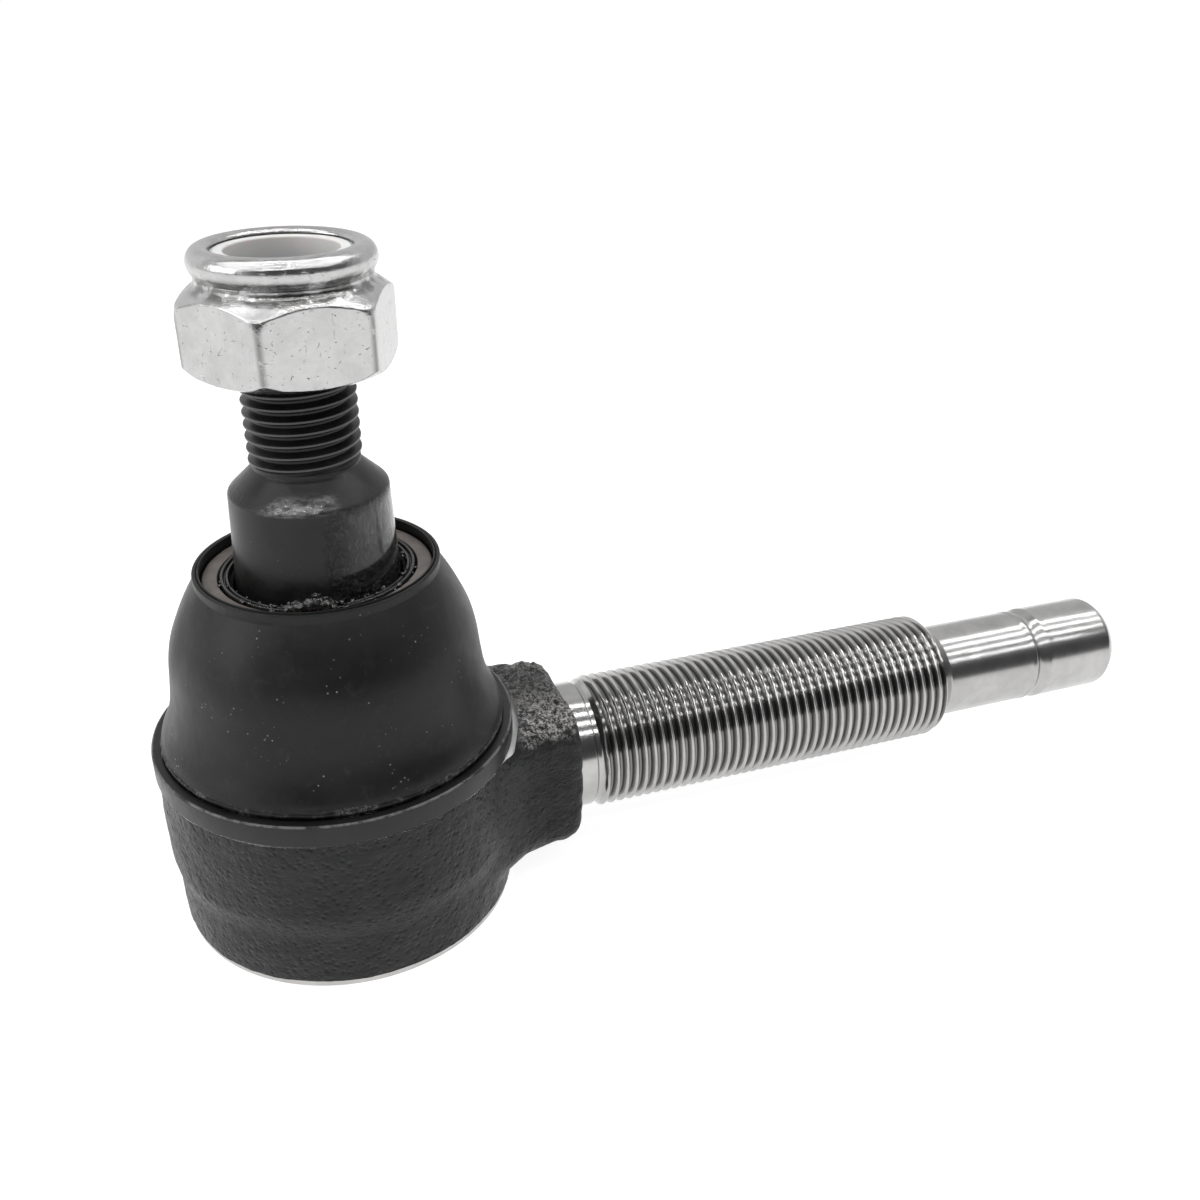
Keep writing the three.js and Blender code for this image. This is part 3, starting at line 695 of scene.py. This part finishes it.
LOOKS = {
    "housing_paint": paint_look(),
    "machined": steel_look("machined", 0.5, 0.24),
    "spot_face": spot_face_look(),
    "shank_steel": shank_look(),
    "plate_zinc": steel_look("plate_zinc", 0.58, 0.3),
    "spring_steel": steel_look("spring_steel", 0.16, 0.35),
    "ring_steel": ring_look(),
    "boot_rubber": rubber_look(),
    "dusty_ring": dusty_ring_look(),
    "seal_rubber": plastic_look("seal_rubber", 0.02, 0.26),
    "acetal": plastic_look("acetal", 0.66, 0.4, 0.08, 0.2),
    "nylon": plastic_look("nylon", 0.72, 0.38, 0.01, 0.15),
    "stud_steel": stud_look(),
    "nut_zinc": zinc_look(),
    "grease": grease_look(),
}


def finish_piece(obj, body, slot, *nodes):
    """Gives a piece its slot's material unless it has one, attaches it to its body, and hides the
    CAD nodes that it stands for.
    """
    if not obj.data.materials:
        obj.data.materials.append(LOOKS[slot])
    if nodes:
        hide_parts(*nodes)
    if body:
        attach(obj, body)
    return obj


# ------------------------------------------------------------------ housing


def rounded_box_section(half_width, low, high, corner, steps=6):
    """Points of a rounded rectangle in (y, z), anticlockwise."""
    out = []
    middle = (low + high) / 2
    half_height = (high - low) / 2
    corner = min(corner, half_width * 0.98, half_height * 0.98)
    for quarter in range(4):
        sy = 1 if quarter in (0, 3) else -1
        sz = 1 if quarter in (0, 1) else -1
        for k in range(steps + 1):
            angle = math.pi / 2 * (quarter + k / steps)
            y = sy * (half_width - corner) + corner * math.cos(angle)
            z = middle + sz * (half_height - corner) + corner * math.sin(angle)
            out.append((y, z))
    return out


def neck_block():
    """The neck as a loft of rounded sections from inside the socket to its end face."""
    stations = [
        # x, half width, bottom, top, corner
        (6.0, 21.0, 1.6, 25.2, 4.0),
        (14.0, 18.6, 1.8, 25.4, 4.0),
        (18.0, 15.6, 2.4, 25.5, 3.8),
        (21.0, 13.4, 3.1, 25.6, 3.6),
        (24.0, 11.9, 3.8, 25.6, 3.6),
        (27.0, 11.2, 4.2, 25.6, 3.6),
        (29.8, 11.0, 4.2, 25.6, 3.4),
        (31.8, 10.9, 4.3, 25.4, 3.8),
        (32.6, 10.6, 4.8, 25.0, 4.2),
        (33.0, 10.0, 5.6, 24.3, 4.8),
    ]
    rings = [
        [(x, y, z) for y, z in rounded_box_section(w, low, high, corner)]
        for x, w, low, high, corner in stations
    ]
    size = len(rings[0])
    vertices = [p for ring in rings for p in ring]
    faces = []
    for i in range(len(rings) - 1):
        for j in range(size):
            k = (j + 1) % size
            faces.append((i * size + j, i * size + k, (i + 1) * size + k, (i + 1) * size + j))
    faces.append(tuple(range(size)))
    faces.append(tuple((len(rings) - 1) * size + j for j in range(size)))
    return make_object("neck_block", vertices, faces)


def roughen_casting(obj):
    """Moves the skin in and out: a hammered top on the neck, an orange-peel skin elsewhere."""
    mesh = obj.data
    co = coordinates(mesh)
    normals = np.empty(len(co) * 3)
    mesh.vertices.foreach_get("normal", normals)
    normals = normals.reshape(-1, 3)
    moved = co.copy()
    for i, (p, n) in enumerate(zip(co / MM, normals)):
        point = Vector(p)
        broad = noise.noise(point * 0.16) * 0.16
        peel = noise.noise(point * 1.05) * 0.07 + noise.noise(point * 0.5) * 0.07
        on_neck = min(max((p[0] - 23.0) / 4.0, 0.0), 1.0)
        up = min(max((n[2] - 0.15) / 0.5, 0.0), 1.0)
        hammered = noise.noise(point * 0.8) * 0.36 + noise.noise(point * 1.5) * 0.26
        side = noise.noise(point * 0.55) * 0.16
        push = broad + peel + on_neck * (up * hammered + (1 - up) * side)
        moved[i] = co[i] + n * push * MM
    set_coordinates(mesh, moved)


def cut(obj, cutter):
    apply_modifier(obj, "BOOLEAN", operation="DIFFERENCE", object=cutter, solver="EXACT",
                   material_mode="TRANSFER")
    drop_object(cutter)


def casting():
    """The painted forging: built solid, given a cast skin, then machined as the real one is."""
    socket = turned("housing_casting", filleted([
        (0, -0.8),
        (LOWER_BAND_R + 0.3, -0.8),
        (LOWER_BAND_R + 0.4, 8.4, 2.5),
        (HOUSING_R + 0.3, 11.4, 2.5),
        (HOUSING_R + 0.2, HOUSING_TOP + 1),
        (0, HOUSING_TOP + 1),
    ]), sides=120)
    neck = neck_block()
    apply_modifier(socket, "BOOLEAN", operation="UNION", object=neck, solver="EXACT")
    drop_object(neck)
    voxel = 0.42
    apply_modifier(socket, "REMESH", mode="VOXEL", voxel_size=voxel * MM)
    apply_modifier(socket, "SMOOTH", factor=0.5, iterations=14)
    roughen_casting(socket)
    socket.data.materials.append(LOOKS["housing_paint"])
    for cutter, look in casting_cutters():
        cutter.data.materials.append(LOOKS[look])
        cut(socket, cutter)
    shade(socket, 38)
    return finish_piece(socket, "housing", "housing_paint", "housing")


def casting_cutters():
    """What machining takes off: base face, bore, mouth, boot seat and the neck's spot face."""
    far = 60
    base_r = LOWER_BAND_R + 0.1
    yield turned("cut_base", filleted([
        (0, -6), (far, -6), (far, 1.15), (base_r + 0.2, 1.0), (base_r, 0.95),
        (base_r, 0.1, 0.1), (base_r - 0.2, 0, 0.1), (0, 0.0),
    ]), sides=180), "machined"
    yield turned("cut_bore", filleted([
        (0, -1), (LIP_BORE_R, -1), (LIP_BORE_R, 0.6, 0.1), (19.0, 0.6), (19.0, 2.4), (18.5, 2.4),
        (18.5, 4.1, 0.2), (SOCKET_R, 4.1, 0.2), (SOCKET_R, 20.6), (14.9, 24.1),
        (MOUTH_R, 24.1, 0.3),
        (MOUTH_R, HOUSING_TOP - 0.9, 0.2), (MOUTH_R + 0.9, HOUSING_TOP, 0.2),
        (MOUTH_R + 0.9, HOUSING_TOP + 3), (0, HOUSING_TOP + 3),
    ]), sides=160), "machined"
    seat_r = RING_R + 0.8
    yield turned("cut_seat", filleted([
        (BOOT_SEAT_R, BOOT_SEAT_Z, 0.3), (seat_r, BOOT_SEAT_Z, 0.5), (seat_r, HOUSING_TOP + 9),
        (MOUTH_R, HOUSING_TOP + 9), (MOUTH_R, HOUSING_TOP), (BOOT_SEAT_R - 0.4, HOUSING_TOP, 0.3),
        (BOOT_SEAT_R, HOUSING_TOP - 0.4, 0.2),
    ]), sides=180), "spot_face"


def shank():
    """The machined shank: relief collar, M20 x 1.5 thread, pilot, groove and chamfered end."""
    start = COLLAR_END + 0.2

    def envelope(s):
        rise = COLLAR_R - 0.25 + max(0.0, s - start) * 1.0
        fall = SHANK_THREAD_R - max(0.0, s - SHANK_THREAD_END) * 0.9
        return min(SHANK_THREAD_R, rise, max(fall, PILOT_R + 0.1))

    groove = PILOT_GROOVE
    end_r = PILOT_END_R
    before = filleted([
        (0, NECK_END - 6), (COLLAR_R, NECK_END - 6), (COLLAR_R, COLLAR_END - 0.7, 0.15),
        (COLLAR_R - 0.25, COLLAR_END - 0.4, 0.1), (COLLAR_R - 0.25, start),
    ])
    after = [(PILOT_R + 0.1, SHANK_CHAMFER_END)] + filleted([
        (PILOT_R + 0.1, SHANK_CHAMFER_END + 0.02), (PILOT_R, SHANK_CHAMFER_END + 0.4, 0.2),
        (PILOT_R, groove - 1.7, 0.6), (PILOT_R + 0.14, groove - 1.0, 0.5),
        (PILOT_R - 0.45, groove - 0.1, 0.4), (PILOT_R - 0.45, groove + 0.6, 0.4),
        (end_r + 0.06, groove + 1.7, 0.6), (end_r, groove + 2.8, 0.8),
        (end_r, SHANK_END - 1.5, 1.4), (end_r - 1.3, SHANK_END, 0.5), (0, SHANK_END),
    ], 6)[1:]
    thread = (start, SHANK_CHAMFER_END, SHANK_THREAD_R, envelope, 10, 0.8)
    piece = turned_with_thread(
        "shank", before, after, thread, 112, True, SHANK_Z)
    return finish_piece(piece, "housing", "shank_steel", "housing")


# ------------------------------------------------------------------ closing plate and inner pieces


def end_plate():
    rim = 0.9
    outline = filleted([
        (0, 0), (6.0, 0, 0.4), (6.6, 0.35, 0.4), (8.4, 0.35, 0.4), (9.0, 0, 0.4), (15.6, 0, 0.8),
        (16.8, rim, 0.6), (plate_high.x, rim, 0.2), (plate_high.x, plate_high.z, 0.2),
        (16.2, plate_high.z, 0.6), (15.0, 1.2, 0.6), (9.0, 1.2, 0.4), (8.4, 1.55, 0.4),
        (6.6, 1.55, 0.4), (6.0, 1.2, 0.4), (0, 1.2),
    ])
    piece = turned("end_plate_pressing", outline)
    return finish_piece(piece, "housing", "plate_zinc", "end_plate")


def seal_ring():
    low, high = span("plate_seal")
    section = (high.z - low.z) / 2
    middle = high.x - section
    outline = [
        (middle + section * math.cos(a), low.z + section + section * math.sin(a))
        for a in np.linspace(0, 2 * math.pi, 20, endpoint=False)
    ]
    piece = turned("plate_seal_ring", outline, 120)
    return finish_piece(piece, "housing", "seal_rubber", "plate_seal")


def coned_spring():
    low, high = span("disc_spring")
    thick = 0.7
    outline = filleted([
        (6.0, high.z - thick, 0.2), (high.x, low.z, 0.2), (high.x, low.z + thick, 0.2),
        (6.0, high.z, 0.2),
    ])
    piece = turned("coned_disc_spring", outline)
    return finish_piece(piece, "housing", "spring_steel", "disc_spring")


def pressure_ring():
    low, high = span("pressure_ring")
    outline = filleted([
        (6.0, low.z, 0.15), (high.x, low.z, 0.3), (high.x, high.z, 0.3), (6.0, high.z, 0.15),
    ])
    piece = turned("pressure_washer", outline)
    return finish_piece(piece, "housing", "spring_steel", "pressure_ring")


def sphere_arc(radius, from_z, to_z, steps):
    """Points on a sphere about the joint's centre, between two heights above it."""
    a, b = math.asin(from_z / radius), math.asin(to_z / radius)
    return [
        (radius * math.cos(a + (b - a) * k / steps),
         BALL_Z + radius * math.sin(a + (b - a) * k / steps))
        for k in range(steps + 1)
    ]


def bearing_shells():
    cavity = BALL_R + 0.3
    low, high = span("lower_bearing")
    opening = 7.2
    drop = -math.sqrt(cavity ** 2 - opening ** 2)
    lower = filleted([(opening, low.z, 0.2), (12.5, low.z, 0.3),
                      (high.x, low.z + high.x - 12.5, 0.5), (high.x, high.z, 0.3)])
    lower += sphere_arc(cavity, high.z - BALL_Z, drop, 24)
    finish_piece(turned("lower_bearing_shell", lower), "lower_seat", "acetal", "lower_bearing")
    low, high = span("upper_bearing")
    shelf_r = math.sqrt(cavity ** 2 - (high.z - BALL_Z) ** 2) + 1.9
    upper = [(cavity, low.z), (high.x, low.z), (high.x, 20.35), (shelf_r, high.z)]
    upper += sphere_arc(cavity, high.z - BALL_Z, 0.02, 20)
    finish_piece(turned("upper_bearing_shell", upper), "housing", "acetal", "upper_bearing")


# ------------------------------------------------------------------ ball stud


def taper_radius(z):
    return TAPER_TOP_R + (TAPER_TOP_Z - z) * TAPER_PER_MM


def ball_stud():
    """Ball, neck, 1:10 taper, shoulder, undercut and M14 x 1.5 thread, turned in one piece."""
    flat = stud_low.z - BALL_Z
    neck_top = math.sqrt(BALL_R ** 2 - NECK_R ** 2)
    start = STUD_THREAD_Z

    def envelope(s):
        rise = UNDERCUT_R + max(0.0, s - start) * 0.8
        fall = STUD_THREAD_R - max(0.0, s - (STUD_TIP - 1.3)) * 0.95
        return min(STUD_THREAD_R, rise, fall)

    before = [(0, stud_low.z)] + sphere_arc(BALL_R, flat, neck_top - 0.05, 40)
    before += filleted([
        before[-1], (NECK_R, BALL_Z + neck_top + 1.2, 1.0), (NECK_R, TAPER_BOTTOM_Z - 3.6, 1.6),
        (taper_radius(TAPER_BOTTOM_Z) - 0.3, TAPER_BOTTOM_Z - 0.8, 1.2),
        (taper_radius(TAPER_BOTTOM_Z), TAPER_BOTTOM_Z + 0.6, 0.8),
    ], 6)[1:]
    before += filleted([
        before[-1], (TAPER_TOP_R, TAPER_TOP_Z, 0.9), (UNDERCUT_R + 0.4, TAPER_TOP_Z + 2.8, 0.3),
        (UNDERCUT_R, TAPER_TOP_Z + 3.1, 0.3), (UNDERCUT_R, start),
    ], 6)[1:]
    tip_r = envelope(STUD_TIP)
    after = [(tip_r, STUD_TIP), (tip_r - 0.6, STUD_TIP), (0, STUD_TIP)]
    thread = (start, STUD_TIP, STUD_THREAD_R, envelope, 12, 0.9)
    piece = turned_with_thread(
        "ball_stud_turned", before, after, thread, 120, False, 0)
    return finish_piece(piece, "stud", "stud_steel", "ball_stud")


# ------------------------------------------------------------------ boot and its rings


def base_ring():
    wall, lip = 0.8, 1.4
    outline = filleted([
        (RING_R - wall, RING_BOTTOM, 0.15), (RING_R, RING_BOTTOM, 0.22), (RING_R, RING_TOP, 0.38),
        (RING_R - lip, RING_TOP, 0.2), (RING_R - lip, RING_TOP - wall, 0.15),
        (RING_R - wall, RING_TOP - wall),
    ], 6)
    piece = turned("boot_base_band", outline, 220)
    return finish_piece(piece, "housing", "ring_steel", "boot_base_ring")


def boot():
    """The rubber bell with its bead, flared skirt with moulding flash, waist and rolled lip."""
    seat = top_ring_low.z - 0.3
    slide_r = slide_high.x + 0.3
    wall = 2.1
    skirt_r = 23.2
    flash_r = 22.5  # the moulding flash is ragged outside this
    bead = filleted([
        (BOOT_SEAT_R + 0.3, RING_TOP, 0.3), (BOOT_SEAT_R + 0.3, RING_BOTTOM, 0.3),
        (RING_R - 1.1, RING_BOTTOM, 0.3), (RING_R - 1.1, RING_TOP - 1.1, 0.3),
        (22.8, RING_TOP - 1.1), (22.8, RING_TOP + 0.3, 0.1), (skirt_r, RING_TOP + 0.3, 0.25),
        (skirt_r, RING_TOP + 0.9, 0.2),
    ], 4)[1:-1]
    outside = curve_through([
        (skirt_r - 0.15, RING_TOP + 1.1), (22.75, RING_TOP + 2.2), (21.75, RING_TOP + 4.4),
        (21.0, RING_TOP + 7.0), (20.55, RING_TOP + 10.0), (20.2, RING_TOP + 13.2),
        (19.6, RING_TOP + 15.8), (18.6, RING_TOP + 18.2), (17.5, RING_TOP + 20.4),
        (16.35, RING_TOP + 22.3), (15.75, RING_TOP + 23.2),
    ], 6)
    lip = filleted([
        (15.75, BOOT_TOP - 0.7), (15.8, BOOT_TOP - 0.1, 0.4), (15.3, BOOT_TOP - 0.1, 0.2),
        (15.2, BOOT_TOP - 0.35, 0.1), (15.12, BOOT_TOP, 0.1), (14.9, BOOT_TOP, 0.12),
        (14.9, seat + 0.5, 0.2), (14.7, seat, 0.2), (slide_r, seat, 0.1),
        (slide_r, seat - wall, 0.4),
    ], 5)[1:]
    inside = curve_through([
        (14.4, seat - wall - 0.6), (16.6, BOOT_TOP - 6.6), (17.9, RING_TOP + 14.0),
        (18.5, RING_TOP + 9.0), (19.4, RING_TOP + 5.0), (20.6, RING_TOP + 1.8),
    ], 6)
    outline = densified(bead + outside + lip + inside, 0.55)

    def wobble(r, z, angle):
        if z < RING_TOP - 0.2 or z > BOOT_TOP - 1.2:
            return r, z
        up = min((z - RING_TOP + 0.2) / 3, 1.0)
        p = Vector((math.cos(angle) * 2.2, math.sin(angle) * 2.2, z * 0.11))
        soft = noise.noise(p) * 0.16 * up
        near_edge = max(0.0, 1 - abs(z - RING_TOP - 0.8) / 0.9) if r > flash_r else 0.0
        q = Vector((math.cos(angle) * 24, math.sin(angle) * 24, z * 1.3))
        ragged_r = near_edge * noise.noise(q) * 0.16
        ragged_z = near_edge * noise.noise(q * 0.7) * 0.14
        return r + soft + ragged_r, z + ragged_z

    piece = turned("dust_boot", outline, 200, wobble=wobble)
    piece.data.materials.append(LOOKS["boot_rubber"])
    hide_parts("boot")
    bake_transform(piece)
    return piece


def top_ring():
    low, high = top_ring_low, top_ring_high
    inner = 12.75
    outline = filleted([
        (inner, low.z, 0.1), (high.x, low.z, 0.1), (high.x, high.z, 0.25), (inner, high.z, 0.2),
    ])
    return finish_piece(turned("boot_stiffening_ring", outline, 200), "boot_crown", "dusty_ring",
                        "boot_top_ring")


def slide_ring():
    """The ring that seals on the taper, with two raised lips on top."""
    top, bottom, outer = slide_high.z, slide_low.z, slide_high.x
    inner_top, inner_bottom = taper_radius(top) + 0.3, taper_radius(bottom) + 0.3
    outline = filleted([
        (inner_bottom, bottom, 0.2), (outer, bottom, 0.3), (outer, top, 0.16),
        (outer - 0.36, top, 0.16), (outer - 0.48, top - 0.55, 0.1),
        (outer - 0.62, top - 0.55, 0.1),
        (outer - 0.74, top - 0.1, 0.14), (outer - 1.02, top - 0.1, 0.14),
        (outer - 1.2, top - 0.9, 0.2), (inner_top, top - 1.3, 0.2),
    ], 4)
    return finish_piece(turned("boot_sealing_lips", outline, 200), "boot_crown", "seal_rubber",
                        "boot_slide_ring")


def grease():
    """Smears of grease squeezed out round the stud at the boot's lip, thickest at the front."""
    random.seed(11)
    parts = bmesh.new()
    lip_z = TOP_RING_TOP + 0.1
    front = math.radians(-100)

    def blob(angle, r, z, size, flat):
        made = bmesh.ops.create_icosphere(parts, subdivisions=3, radius=size)
        for v in made["verts"]:
            p = v.co * 1.0
            bump = 1 + 0.35 * noise.noise(p * 1.6 / size + Vector((angle * 7, r, z)))
            v.co = Vector((p.x * bump, p.y * bump, p.z * bump * flat))
            v.co += Vector((r * math.cos(angle), r * math.sin(angle), z))

    for _ in range(60):
        off = random.gauss(0, 0.22)
        thick = math.exp(-(off / 0.26) ** 2)
        blob(front + off, random.uniform(10.9, 13.0), lip_z + random.uniform(-0.1, 1.3) * thick,
             random.uniform(0.35, 0.7) * (0.55 + 0.8 * thick), random.uniform(0.7, 1.1))
    for _ in range(34):
        angle = front + random.uniform(-1.5, 1.9)
        blob(angle, random.uniform(10.9, 12.7), lip_z + random.uniform(-0.35, 0.15),
             random.uniform(0.18, 0.42), random.uniform(0.5, 0.9))
    mesh = bpy.data.meshes.new("grease")
    parts.to_mesh(mesh)
    parts.free()
    mesh.transform(Matrix.Scale(MM, 4))
    obj = bpy.data.objects.new("grease", mesh)
    bpy.context.scene.collection.objects.link(obj)
    apply_modifier(obj, "REMESH", mode="VOXEL", voxel_size=0.14 * MM)
    apply_modifier(obj, "SMOOTH", factor=0.5, iterations=3)
    shade(obj, 180)
    return finish_piece(obj, "boot_crown", "grease")


# ------------------------------------------------------------------ lock nut


def smooth_min(a, b, k):
    h = max(k - abs(a - b), 0.0) / k
    return min(a, b) - h * h * k / 4


def hexagon_radius(angle, rounding=0.55):
    """Radius of the hexagon at an angle, with its corners slightly rounded."""
    step = math.pi / 3
    flat = NUT_ACROSS_FLATS / 2
    local = (angle - NUT_TURN) % step
    to_face = flat / math.cos(local - step / 2)
    corner = flat / math.cos(step / 2) - rounding * 0.25
    return smooth_min(to_face, corner, rounding)


def ellipse_arc(r, z, half_width, half_height, start, end, steps):
    """Points of an ellipse's arc between two angles in degrees."""
    out = []
    for k in range(steps + 1):
        a = math.radians(start + (end - start) * k / steps)
        out.append((r + half_width * math.cos(a), z + half_height * math.sin(a)))
    return out


def lock_nut():
    """Hexagon with chamfered ends, turned collar rolled in over the nylon, and a plain bore."""
    flat = NUT_ACROSS_FLATS / 2
    corner = flat / math.cos(math.pi / 6)
    bore = STUD_THREAD_R + 0.1
    insert_seat = insert_low.z - NUT_SEAT - 0.3
    top = NUT_HEIGHT
    hex_top = NUT_HEX_HEIGHT
    rim_r = (NUT_COLLAR_R + NUT_OPENING_R) / 2 - 0.15
    outline = filleted([
        (bore, 0.9, 0.1), (bore + 1.2, 0, 0.1), (flat - 0.7, 0, 0.5), (flat + 0.7, 0.7, 0.8),
        (corner + 0.2, 1.9, 0.5), (corner + 0.2, hex_top - 3.3, 0.5),
        (flat + 1.25, hex_top - 1.1, 1.0),
        (flat + 0.1, hex_top - 0.2, 0.7), (NUT_COLLAR_R - 0.3, hex_top + 0.75, 1.5),
        (NUT_COLLAR_R - 0.35, hex_top + 1.75, 0.7),
    ], 7)
    outline += ellipse_arc(rim_r, top - 1.75, NUT_COLLAR_R + 0.3 - rim_r, 1.75, -38, 90, 18)
    outline += ellipse_arc(rim_r, top - 0.6, rim_r - NUT_OPENING_R, 0.6, 96, 178, 8)
    outline += filleted([
        (NUT_OPENING_R, top - 0.6), (9.3, top - 0.62), (9.3, insert_seat, 0.1),
        (bore, insert_seat, 0.1),
    ])
    outline = densified(outline, 0.28)
    outline = [(r, z + NUT_SEAT) for r, z in outline]

    hex_from_r = 10.8  # the bore and the collar inside this stay round

    def wobble(r, z, angle):
        return (smooth_min(r, hexagon_radius(angle), 0.22) if r > hex_from_r else r), z

    segments = 360
    piece = turned("lock_nut_body", outline, segments, wobble=wobble, sharp_deg=50)
    return finish_piece(piece, "nut", "nut_zinc", "lock_nut")


def nylon_ring():
    low, high = insert_low.z, insert_high.z
    outline = filleted([
        (NYLON_BORE_R, low, 0.3), (insert_high.x, low, 0.2), (insert_high.x, high, 0.2),
        (NUT_OPENING_R - 0.2, high, 0.1), (NUT_OPENING_R - 0.35, high + 0.22, 0.12),
        (NYLON_BORE_R, high + 0.22, 0.28),
    ], 5)
    return finish_piece(turned("nylon_ring", outline, 160), "nut_carrier", "nylon", "nut_insert")


# ------------------------------------------------------------------ stage, light and camera

CAMERA_PLACE = (-14.3 * MM, -145.1 * MM, 120.0 * MM)
CAMERA_HEADING = math.radians(-20.21)
CAMERA_DOWN = math.radians(27.69)
CAMERA_ROLL = math.radians(0.33)
LENS = 36.17


def camera():
    data = bpy.data.cameras.new("camera")
    data.lens = LENS
    data.sensor_width = 36
    data.clip_start = 0.005
    data.clip_end = 50
    obj = bpy.data.objects.new("camera", data)
    turn = Matrix.Rotation(CAMERA_HEADING, 4, "Z")
    tip = Matrix.Rotation(math.pi / 2 - CAMERA_DOWN, 4, "X")
    roll = Matrix.Rotation(CAMERA_ROLL, 4, "Z")
    obj.matrix_world = Matrix.Translation(CAMERA_PLACE) @ turn @ tip @ roll
    bpy.context.scene.collection.objects.link(obj)
    bpy.context.scene.camera = obj


def area_light(name, place, target, width, height, power):
    data = bpy.data.lights.new(name, "AREA")
    data.shape = "RECTANGLE"
    data.size = width
    data.size_y = height
    data.energy = power
    obj = bpy.data.objects.new(name, data)
    aim = (Vector(target) - Vector(place)).to_track_quat("-Z", "Y").to_matrix().to_4x4()
    obj.matrix_world = Matrix.Translation(place) @ aim
    bpy.context.scene.collection.objects.link(obj)


STRIP_HEIGHT = 1.05
STRIP_ANGLES = (-14.0, 4.4, 22.6, 40.2)  # from overhead towards the camera, in degrees


def lights():
    """Four long ceiling strips along the shank, and one soft key from the left."""
    for i, angle in enumerate(STRIP_ANGLES):
        y = -STRIP_HEIGHT * math.tan(math.radians(angle))
        target = (0.1, 0, 0.02)
        area_light(f"strip_{i}", (0.1, y, STRIP_HEIGHT), target, 2.4, 0.035, 4.5)
    area_light("key", (-1.1, -0.1, 0.5), (0, 0, 0.04), 0.8, 0.6, 4.0)


def world():
    """A white backdrop; the room is pale behind and left of the object, dim in front and above."""
    made = bpy.data.worlds.new("world")
    made.use_nodes = True
    tree = made.node_tree
    tree.nodes.clear()
    out = tree.nodes.new("ShaderNodeOutputWorld")
    back = tree.nodes.new("ShaderNodeBackground")
    place = tree.nodes.new("ShaderNodeTexCoord")
    tree.links.new(back.outputs[0], out.inputs["Surface"])

    def toward(direction, low, high, dim, bright):
        dot = tree.nodes.new("ShaderNodeVectorMath")
        dot.operation = "DOT_PRODUCT"
        tree.links.new(place.outputs["Generated"], dot.inputs[0])
        dot.inputs[1].default_value = Vector(direction).normalized()
        ramp = tree.nodes.new("ShaderNodeMapRange")
        ramp.interpolation_type = "SMOOTHSTEP"
        tree.links.new(dot.outputs["Value"], ramp.inputs["Value"])
        ramp.inputs["From Min"].default_value = low
        ramp.inputs["From Max"].default_value = high
        ramp.inputs["To Min"].default_value = dim
        ramp.inputs["To Max"].default_value = bright
        return ramp.outputs["Result"]

    def combined(operation, a, b):
        n = tree.nodes.new("ShaderNodeMath")
        n.operation = operation
        tree.links.new(a, n.inputs[0])
        tree.links.new(b, n.inputs[1])
        return n.outputs[0]

    behind = toward((0.35, 0.94, 0.0), -0.1, 0.6, 0.1, 0.9)
    left = toward((-0.94, 0.2, 0.1), 0.3, 0.95, 0.0, 0.5)
    under_ceiling = toward((0.0, 0.0, 1.0), 0.75, 1.0, 1.0, 0.45)
    total = combined("MULTIPLY", combined("ADD", behind, left), under_ceiling)
    # the camera sees plain white, while the light on the object stays at total
    seen = tree.nodes.new("ShaderNodeLightPath").outputs["Is Camera Ray"]
    white = combined("ADD", seen, seen)
    tree.links.new(combined("MAXIMUM", total, white), back.inputs["Strength"])
    bpy.context.scene.world = made


def floor():
    """A pale table that glows a little, as a back-lit one does, so that it stays white."""
    mesh = bpy.data.meshes.new("floor")
    bm = bmesh.new()
    bmesh.ops.create_circle(bm, cap_ends=True, segments=96, radius=30.0)
    bm.to_mesh(mesh)
    bm.free()
    obj = bpy.data.objects.new("floor", mesh)
    obj.location.z = -0.0002
    bpy.context.scene.collection.objects.link(obj)
    pale = bpy.data.materials.new("floor")
    pale.use_nodes = True
    shader = pale.node_tree.nodes["Principled BSDF"]
    shader.inputs["Base Color"].default_value = (0.3, 0.3, 0.3, 1)
    shader.inputs["Roughness"].default_value = 0.95
    shader.inputs["Specular IOR Level"].default_value = 0.0
    shader.inputs["Emission Color"].default_value = (1, 1, 1, 1)
    shader.inputs["Emission Strength"].default_value = 0.9
    mesh.materials.append(pale)


# ------------------------------------------------------------------ make everything

camera()
lights()
world()
floor()
bpy.context.scene.view_settings.view_transform = "Standard"

casting()
shank()
end_plate()
seal_ring()
coned_spring()
pressure_ring()
bearing_shells()
ball_stud()
base_ring()
boot()
top_ring()
slide_ring()
grease()
lock_nut()
nylon_ring()
